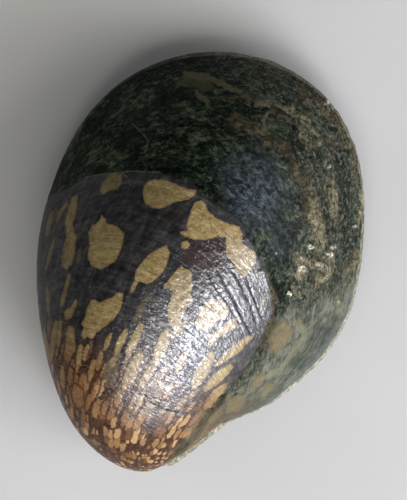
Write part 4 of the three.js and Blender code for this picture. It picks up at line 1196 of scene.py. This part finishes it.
# ------------------------------------------------------------------ columellar shelf
def shelf():
    def inner_at(s, psi):
        return squeezed(dome(np.full(len(psi), s), psi), 0.87, 0.46) + [0, 0, SHELL_LIFT]

    psi = np.linspace(math.pi + 0.30, 2 * math.pi - 0.30, 120)
    psi_t = (psi + math.pi) % (2 * math.pi) - math.pi
    best = np.full(len(psi), 20.0)
    for k in range(61):
        q = inner_at(1 - 0.6 * k / 60, psi_t)
        ok = (q[:, 2] > DECK_BOTTOM - 0.15) & (q[:, 2] < DECK_TOP + 0.15)
        best = np.where(ok, np.minimum(best, np.hypot(q[:, 0], q[:, 1])), best)
    q = inner_at(1.0, psi_t)
    best = np.minimum(best, np.hypot(q[:, 0], q[:, 1])) + 0.30
    back = np.stack([best * np.cos(psi), best * np.sin(psi)], -1)
    back = back[back[:, 1] < DECK_FRONT - 0.02]
    left, right = back[0, 0], back[-1, 0]
    front = []
    span = 4.4
    mid = (left + right) / 2
    xs = np.linspace(right, left, 150)[1:-1]
    for x in xs:
        t = (mid + span / 2 - x) / span
        tooth = 0.0
        if 0 < t < 1:
            tooth = 0.27 * max(0.0, math.sin(math.pi * (t * DECK_TEETH % 1.0))) ** 1.3
        front.append((x, DECK_FRONT - 0.02 + tooth + 0.015 * math.sin(3 * x)))
    ring = np.concatenate([back, np.array(front)])
    centre = ring.mean(0)
    scale = [(0.0, DECK_BOTTOM + 0.10), (0.5, DECK_BOTTOM + 0.05), (0.93, DECK_BOTTOM), (0.985, DECK_BOTTOM + 0.1),
             (1.0, 2.62), (1.0, 2.86), (0.985, DECK_TOP - 0.1), (0.93, DECK_TOP), (0.5, DECK_TOP - 0.04),
             (0.0, DECK_TOP - 0.08)]
    pts, tri, rows = [], [], []
    for k, z in scale:
        steps = [k]
        if k == 0.0:
            rows.append([len(pts)])
            pts.append((centre[0], centre[1], z))
            continue
        row = []
        for x, y in ring:
            row.append(len(pts))
            pts.append((centre[0] + (x - centre[0]) * k, centre[1] + (y - centre[1]) * k, z))
        rows.append(row)
    n = len(ring)
    for a, b in zip(rows[:-1], rows[1:]):
        for j in range(n):
            if len(a) == 1:
                tri.append((a[0], b[(j + 1) % n], b[j]))
            elif len(b) == 1:
                tri.append((a[j], a[(j + 1) % n], b[0]))
            else:
                tri.append((a[j], a[(j + 1) % n], b[(j + 1) % n], b[j]))
    pts = np.array(pts)
    pts[:, 2] += 0.035 * layers(pts, 1.4, 3, 71) * (np.abs(pts[:, 2] - 2.75) > 0.2)
    o = make_object("columellar_shelf_callus", metres(pts), tri)
    bm = bmesh.new()
    bm.from_mesh(o.data)
    bmesh.ops.recalc_face_normals(bm, faces=bm.faces)
    bmesh.ops.triangulate(bm, faces=[f for f in bm.faces if len(f.verts) > 4])
    bm.to_mesh(o.data)
    bm.free()
    o.data.polygons.foreach_set("use_smooth", [True] * len(o.data.polygons))
    g = Graph("callus_surface")
    n1, n2 = g.noise(g.mm, 0.8, 4, 0.55), g.noise(g.mm, 5.0, 3, 0.6)
    col = g.ramp(g.add(g.mul(n1, 0.7), g.mul(n2, 0.3)),
                 [(0.32, rgb(168, 164, 146)), (0.52, rgb(206, 203, 188)), (0.72, rgb(224, 220, 206))])
    g.set(Base_Color=col, Roughness=g.step(n2, 0.3, 0.8, (0.18, 0.36)),
          Normal=g.bump(g.add(n1, g.mul(n2, 0.4)), 0.00004, 0.6))
    o.data.materials.append(g.mat)
    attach(o, "root")
    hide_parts("columellar_shelf")
    return o


shelf()


# ------------------------------------------------------------------ operculum
def operculum():
    n, m = 120, 26
    cx, cy, a, b = -0.6, -6.4, 3.7, 2.2
    t = 2 * math.pi * np.arange(n) / n

    def ring_at(k, z):
        w = a * k * (1 - 0.12 * np.sin(t))
        y = b * k * np.sin(t)
        return np.stack([cx + w * np.cos(t) + BODY_LEAN * (cy - SOLE_Y + y), cy + y, np.full(n, z)], -1)

    rows = []
    for k in np.linspace(0.06, 0.93, m):
        wave = 0.018 * math.sin(k * 52) + 0.012 * math.sin(k * 23 + 1)
        rows.append(ring_at(k, 2.02 + wave - 0.05 * (1 - k) ** 2))
    rows += [ring_at(0.975, 1.985), ring_at(1.0, 1.90), ring_at(1.0, 1.82), ring_at(0.97, 1.74)]
    for k in np.linspace(0.9, 0.06, 12):
        rows.append(ring_at(k, 1.66 + 0.01 * math.sin(k * 30)))
    pts = np.concatenate(rows + [[[cx + BODY_LEAN * (cy - SOLE_Y), cy, 1.96]],
                                 [[cx + BODY_LEAN * (cy - SOLE_Y), cy, 1.66]]])
    pts[:-2, 2] += 0.02 * noise(pts[:-2], 0.8, 81) * (np.abs(pts[:-2, 2] - 1.85) > 0.12)
    faces_o = []
    for r in range(len(rows) - 1):
        for j in range(n):
            p0, p1 = r * n + j, r * n + (j + 1) % n
            faces_o.append((p0, p0 + n, p1 + n, p1))
    top_c, low_c = len(pts) - 2, len(pts) - 1
    last = (len(rows) - 1) * n
    for j in range(n):
        faces_o.append((top_c, j, (j + 1) % n))
        faces_o.append((low_c, last + (j + 1) % n, last + j))
    o = make_object("operculum_plate", metres(pts), faces_o)
    bm = bmesh.new()
    bm.from_mesh(o.data)
    bmesh.ops.recalc_face_normals(bm, faces=bm.faces)
    bm.to_mesh(o.data)
    bm.free()
    o.data.polygons.foreach_set("use_smooth", [True] * len(o.data.polygons))
    g = Graph("operculum_surface")
    n1, n2 = g.noise(g.mm, 1.2, 4, 0.55), g.noise(g.mm, 6.0, 3, 0.6)
    col = g.ramp(g.add(g.mul(n1, 0.6), g.mul(n2, 0.4)),
                 [(0.3, rgb(44, 32, 28)), (0.5, rgb(78, 58, 50)), (0.7, rgb(120, 92, 78))])
    g.set(Base_Color=col, Roughness=g.step(n2, 0.3, 0.8, (0.28, 0.5)),
          Normal=g.bump(g.add(n1, g.mul(n2, 0.5)), 0.00004, 0.7))
    o.data.materials.append(g.mat)
    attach(o, "root")
    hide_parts("operculum")
    return o


operculum()


# ------------------------------------------------------------------ soft body
def ball_mesh(centre, radii, w=28, h=18):
    pts, tri = [], []
    for i in range(h + 1):
        th = math.pi * i / h
        for j in range(w):
            ph = 2 * math.pi * j / w
            pts.append((centre[0] + radii[0] * math.sin(th) * math.cos(ph),
                        centre[1] + radii[1] * math.sin(th) * math.sin(ph),
                        centre[2] + radii[2] * math.cos(th)))
    for i in range(h):
        for j in range(w):
            a, b = i * w + j, i * w + (j + 1) % w
            tri.append((a, a + w, b + w))
            tri.append((a, b + w, b))
    return np.array(pts), tri


def oval_ring(cx, cy, a, b, z, egg, n=80):
    t = 2 * math.pi * np.arange(n) / n
    w = a * (1 + egg * np.sin(t))
    y = b * np.sin(t)
    return np.stack([cx + w * np.cos(t) + BODY_LEAN * (cy - SOLE_Y + y), cy + y, np.full(n, z)], -1)


FLESH = ("foot", "body_mass", "head", "tentacle_right", "tentacle_left",
         "eye_stalk_right", "eye_stalk_left")
parts_p, parts_f, count = [], [], 0
for name in FLESH:
    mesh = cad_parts[name].data
    co = np.zeros(len(mesh.vertices) * 3)
    mesh.vertices.foreach_get("co", co)
    p = millimetres(co.reshape(-1, 3))
    # the working frame is the model's frame turned half round, so the faces keep their side
    parts_p.append(p)
    parts_f += [tuple(count + i for i in f.vertices) for f in mesh.polygons]
    count += len(p)
bridges = [((HX, 6.6, 2.35), (1.9, 1.3, 0.5))]
for side in (1, -1):
    bridges += [((HX + side * 2.75, 8.72, 2.08), (0.75, 0.46, 0.42)),
                ((HX + side * 3.1, 8.9, 1.98), (0.5, 0.42, 0.38)),
                ((HX + side * 2.55, 7.78, 2.5), (0.5, 0.45, 0.42))]
for c, r in bridges:
    p, f = ball_mesh(c, r)
    parts_p.append(p)
    parts_f += [tuple(count + i for i in t) for t in f]
    count += len(p)
col_rings = [oval_ring(-0.35, 1.8, 4.7, 4.0, z, 0.03) for z in (2.75, 3.9)]
p = np.concatenate(col_rings + [[col_rings[0].mean(0)], [col_rings[1].mean(0)]])
n = 80
f = []
for j in range(n):
    k = (j + 1) % n
    f += [(j, k, n + k), (j, n + k, n + j), (2 * n, k, j), (2 * n + 1, n + j, n + k)]
parts_p.append(p)
parts_f += [tuple(count + i for i in t) for t in f]
rough_body = make_object("rough_body", np.concatenate(parts_p), parts_f, False)
remesh = rough_body.modifiers.new("remesh", "REMESH")
remesh.mode = "VOXEL"
remesh.voxel_size = 0.155
dg = bpy.context.evaluated_depsgraph_get()
made = bpy.data.meshes.new_from_object(rough_body.evaluated_get(dg))
co = np.zeros(len(made.vertices) * 3)
made.vertices.foreach_get("co", co)
B = co.reshape(-1, 3)
body_faces = [tuple(f.vertices) for f in made.polygons]
ev = np.zeros(len(made.edges) * 2, np.int64)
made.edges.foreach_get("vertices", ev)
ev = ev.reshape(-1, 2)
bpy.data.objects.remove(rough_body)
bpy.data.meshes.remove(made)


def relax(p, w, rounds):
    deg = np.zeros(len(p))
    np.add.at(deg, ev[:, 0], 1)
    np.add.at(deg, ev[:, 1], 1)
    for _ in range(rounds):
        s = np.zeros_like(p)
        np.add.at(s, ev[:, 0], p[ev[:, 1]])
        np.add.at(s, ev[:, 1], p[ev[:, 0]])
        p = p + w * (s / deg[:, None] - p)
    return p


def quad_normals(p, faces_q):
    t = np.array([f[:3] for f in faces_q])
    return normals_of(p, t)


for _ in range(3):
    B = relax(B, 0.55, 1)
    B = relax(B, -0.57, 1)
B = relax(B, 0.5, 2)
BN = quad_normals(B, body_faces)
low = B[:, 2] < 0.35
visible = smooth(0.25, 0.6, B[:, 2])
head_zone = smooth(5.8, 7.2, B[:, 1])
arms = smooth(2.9, 3.4, np.abs(B[:, 0] - HX)) * head_zone
wr = layers(B, 0.55, 3, 91)
folds = np.sin(B[:, 1] * 9 + 2.2 * layers(B, 1.4, 2, 92)) * head_zone * (1 - arms)
rings_t = np.sin(B[:, 0] * 17 + 1.5 * layers(B, 0.8, 2, 93)) * arms
margin = smooth(0.35, 0.6, B[:, 2]) * (1 - smooth(1.05, 1.3, B[:, 2])) * (1 - head_zone * 0.5)
frill = np.sin(np.arctan2(B[:, 1], B[:, 0]) * 46 + 3 * layers(B, 1.6, 2, 94)) * margin
B = B + BN * (visible * (0.035 * wr - 0.02) + 0.022 * folds * visible + 0.012 * rings_t
              + 0.03 * (frill - 0.6) * margin)[:, None]
B[:, 2] = np.where(B[:, 2] < 0.09, 0, B[:, 2])
soft = make_object("soft_body", metres(B), body_faces)
put(soft, "form", np.stack([head_zone, arms, margin], -1))


def flesh_material():
    g = Graph("flesh_surface")
    mm = g.mm
    hz, arm_m, edge_m = g.attribute("form")
    x, y, z = g.split(mm)
    n1 = g.noise(mm, 0.9, 5, 0.6)
    n2 = g.noise(mm, 3.5, 4, 0.65)
    n3 = g.noise(mm, 10.0, 3, 0.6)
    base = g.ramp(g.add(g.mul(n1, 0.5), g.mul(n2, 0.5)),
                  [(0.34, rgb(26, 25, 24)), (0.5, rgb(58, 55, 49)), (0.68, rgb(104, 98, 84))])
    vein = g.step(g.noise(g.join(g.mul(x, 0.8), g.mul(y, 3.4), g.mul(z, 2.0)), 1.2, 4, 0.6, 0.7), 0.52, 0.66)
    base = g.mix(g.mul(vein, 0.5), base, rgb(128, 120, 100))
    dots = g.cells(mm, 5.0, "F1", "3D", 1.0)
    base = g.mix(g.mul(g.step(dots.outputs["Distance"], 0.28, 0.12), 0.55), base, rgb(18, 17, 17))
    band = g.step(g.noise(g.join(g.mul(x, 4.5), g.mul(y, 0.6), 0.0), 1.0, 2, 0.5), 0.45, 0.6)
    base = g.mix(g.mul(arm_m, g.mul(band, 0.6)), base, rgb(24, 22, 22))
    base = g.mix(g.mul(edge_m, 0.45), base, rgb(140, 132, 110))
    sole = g.ramp(g.add(g.mul(n1, 0.5), g.mul(n3, 0.5)),
                  [(0.35, rgb(110, 104, 90)), (0.55, rgb(150, 143, 124)), (0.7, rgb(176, 168, 148))])
    base = g.mix(g.step(z, 0.12, 0.03), base, sole)
    height = g.many("ADD", g.mul(n2, 0.8), g.mul(n3, 0.6), g.mul(dots.outputs["Distance"], 0.4))
    g.set(Base_Color=base, Roughness=g.step(n3, 0.3, 0.8, (0.26, 0.5)),
          Normal=g.bump(height, 0.00006, 0.8))
    g.bsdf.inputs["Subsurface Weight"].default_value = 0.12
    g.bsdf.inputs["Subsurface Scale"].default_value = 0.0006
    g.bsdf.inputs["Subsurface Radius"].default_value = (1.0, 0.5, 0.35)
    return g.mat


soft.data.materials.append(flesh_material())
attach(soft, "root")
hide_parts(*FLESH)


# ------------------------------------------------------------------ eyes
def eye(side, name, node):
    centre = np.array([HX + side * 3.4, 8.0, 2.74])
    out = np.array([0.6 * side, 0.25, 0.12])
    out /= np.linalg.norm(out)
    a = np.cross(out, [0, 0, 1.0])
    a /= np.linalg.norm(a)
    b = np.cross(out, a)
    w, h = 40, 28
    pts = [centre + out * (EYE_RADIUS * 1.06)]
    for i in range(1, h):
        th = math.pi * i / h
        r = EYE_RADIUS * (0.97 + 0.09 * math.exp(-(th / 0.55) ** 2))
        for j in range(w):
            ph = 2 * math.pi * j / w
            pts.append(centre + out * r * math.cos(th)
                       + (a * math.cos(ph) + b * math.sin(ph)) * r * math.sin(th))
    pts.append(centre - out * EYE_RADIUS * 0.97)
    fs = []
    for j in range(w):
        k = (j + 1) % w
        fs.append((0, 1 + j, 1 + k))
        fs.append((len(pts) - 1, len(pts) - 1 - w + k, len(pts) - 1 - w + j))
        for i in range(h - 2):
            p0, p1 = 1 + i * w + j, 1 + i * w + k
            fs.append((p0, p0 + w, p1 + w, p1))
    o = make_object(name, metres(np.array(pts)), fs)
    bm = bmesh.new()
    bm.from_mesh(o.data)
    bmesh.ops.recalc_face_normals(bm, faces=bm.faces)
    bm.to_mesh(o.data)
    bm.free()
    o.data.polygons.foreach_set("use_smooth", [True] * len(o.data.polygons))
    o.data.materials.append(EYE_MATERIAL)
    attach(o, "root")
    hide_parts(node)


def eye_material():
    g = Graph("eye_surface")
    n1 = g.noise(g.mm, 9.0, 3, 0.6)
    g.set(Base_Color=g.ramp(n1, [(0.35, rgb(6, 6, 8)), (0.65, rgb(24, 20, 18))]),
          Roughness=g.step(n1, 0.3, 0.8, (0.05, 0.14)))
    g.bsdf.inputs["Coat Weight"].default_value = 1.0
    g.bsdf.inputs["Coat Roughness"].default_value = 0.04
    return g.mat


EYE_MATERIAL = eye_material()
eye(1, "eyeball_right", "eye_right")
eye(-1, "eyeball_left", "eye_left")


# ------------------------------------------------------------------ floor and light
k = 0.5
m = 24
grid = [(-k + 2 * k * i / m, -k + 2 * k * j / m, 0.0) for j in range(m + 1) for i in range(m + 1)]
quads = [(j * (m + 1) + i, j * (m + 1) + i + 1, (j + 1) * (m + 1) + i + 1, (j + 1) * (m + 1) + i)
         for j in range(m) for i in range(m)]
floor = make_object("floor", grid, quads)
fg = Graph("floor_surface")
fn = fg.noise(fg.mm, 0.05, 3, 0.5)
fg.set(Base_Color=fg.ramp(fn, [(0.3, rgb(196, 196, 192)), (0.7, rgb(204, 203, 199))]),
       Roughness=fg.step(fn, 0.3, 0.7, (0.7, 0.8)))
floor.data.materials.append(fg.mat)


def softbox(name, toward, away, size, radiance, colour):
    """toward: unit direction in the working frame; radiance in W per square metre and steradian"""
    d = np.asarray(toward, float)
    d /= np.linalg.norm(d)
    at = metres(np.array([0, 0, 5.0]) + d * away * 1000)
    target = metres(np.array([0, 0, 5.0]))
    data = bpy.data.lights.new(name, "AREA")
    data.shape = "RECTANGLE"
    data.size, data.size_y = size
    data.energy = radiance * math.pi * size[0] * size[1]
    data.color = colour
    o = bpy.data.objects.new(name, data)
    bpy.context.scene.collection.objects.link(o)
    o.location = Vector([float(v) for v in at])
    o.rotation_euler = Vector([float(v) for v in (at - target)]).to_track_quat("Z", "Y").to_euler()
    return o


softbox("key", (0.62, -0.54, 0.60), 0.32, (0.30, 0.20), 4.0, (1.0, 0.985, 0.98))
softbox("sky", (-0.05, -0.55, 0.83), 0.34, (0.18, 0.14), 3.6, (1.0, 0.965, 0.935))
softbox("window_a", (0.467, -0.719, 0.515), 0.30, (0.10, 0.08), 17.8, (0.80, 0.82, 1.0))
softbox("window_b", (0.772, -0.446, 0.454), 0.30, (0.11, 0.05), 11.0, (0.80, 0.83, 1.0))
softbox("window_c", (0.942, -0.166, 0.292), 0.30, (0.09, 0.04), 9.0, (0.95, 0.98, 1.0))
softbox("low", (0.16, -0.90, 0.38), 0.40, (0.34, 0.14), 2.2, (1.0, 0.97, 0.96))
fill = softbox("fill", (-0.55, 0.45, 0.75), 0.5, (0.5, 0.5), 0.55, (0.95, 0.98, 1.0))
fill.visible_glossy = False
world = bpy.data.worlds.new("studio")
world.use_nodes = True
world.node_tree.nodes["Background"].inputs[0].default_value = (0.86, 0.90, 0.95, 1)
world.node_tree.nodes["Background"].inputs[1].default_value = 0.07
bpy.context.scene.world = world
bpy.context.scene.view_settings.view_transform = "Standard"
bpy.context.scene.view_settings.look = "None"
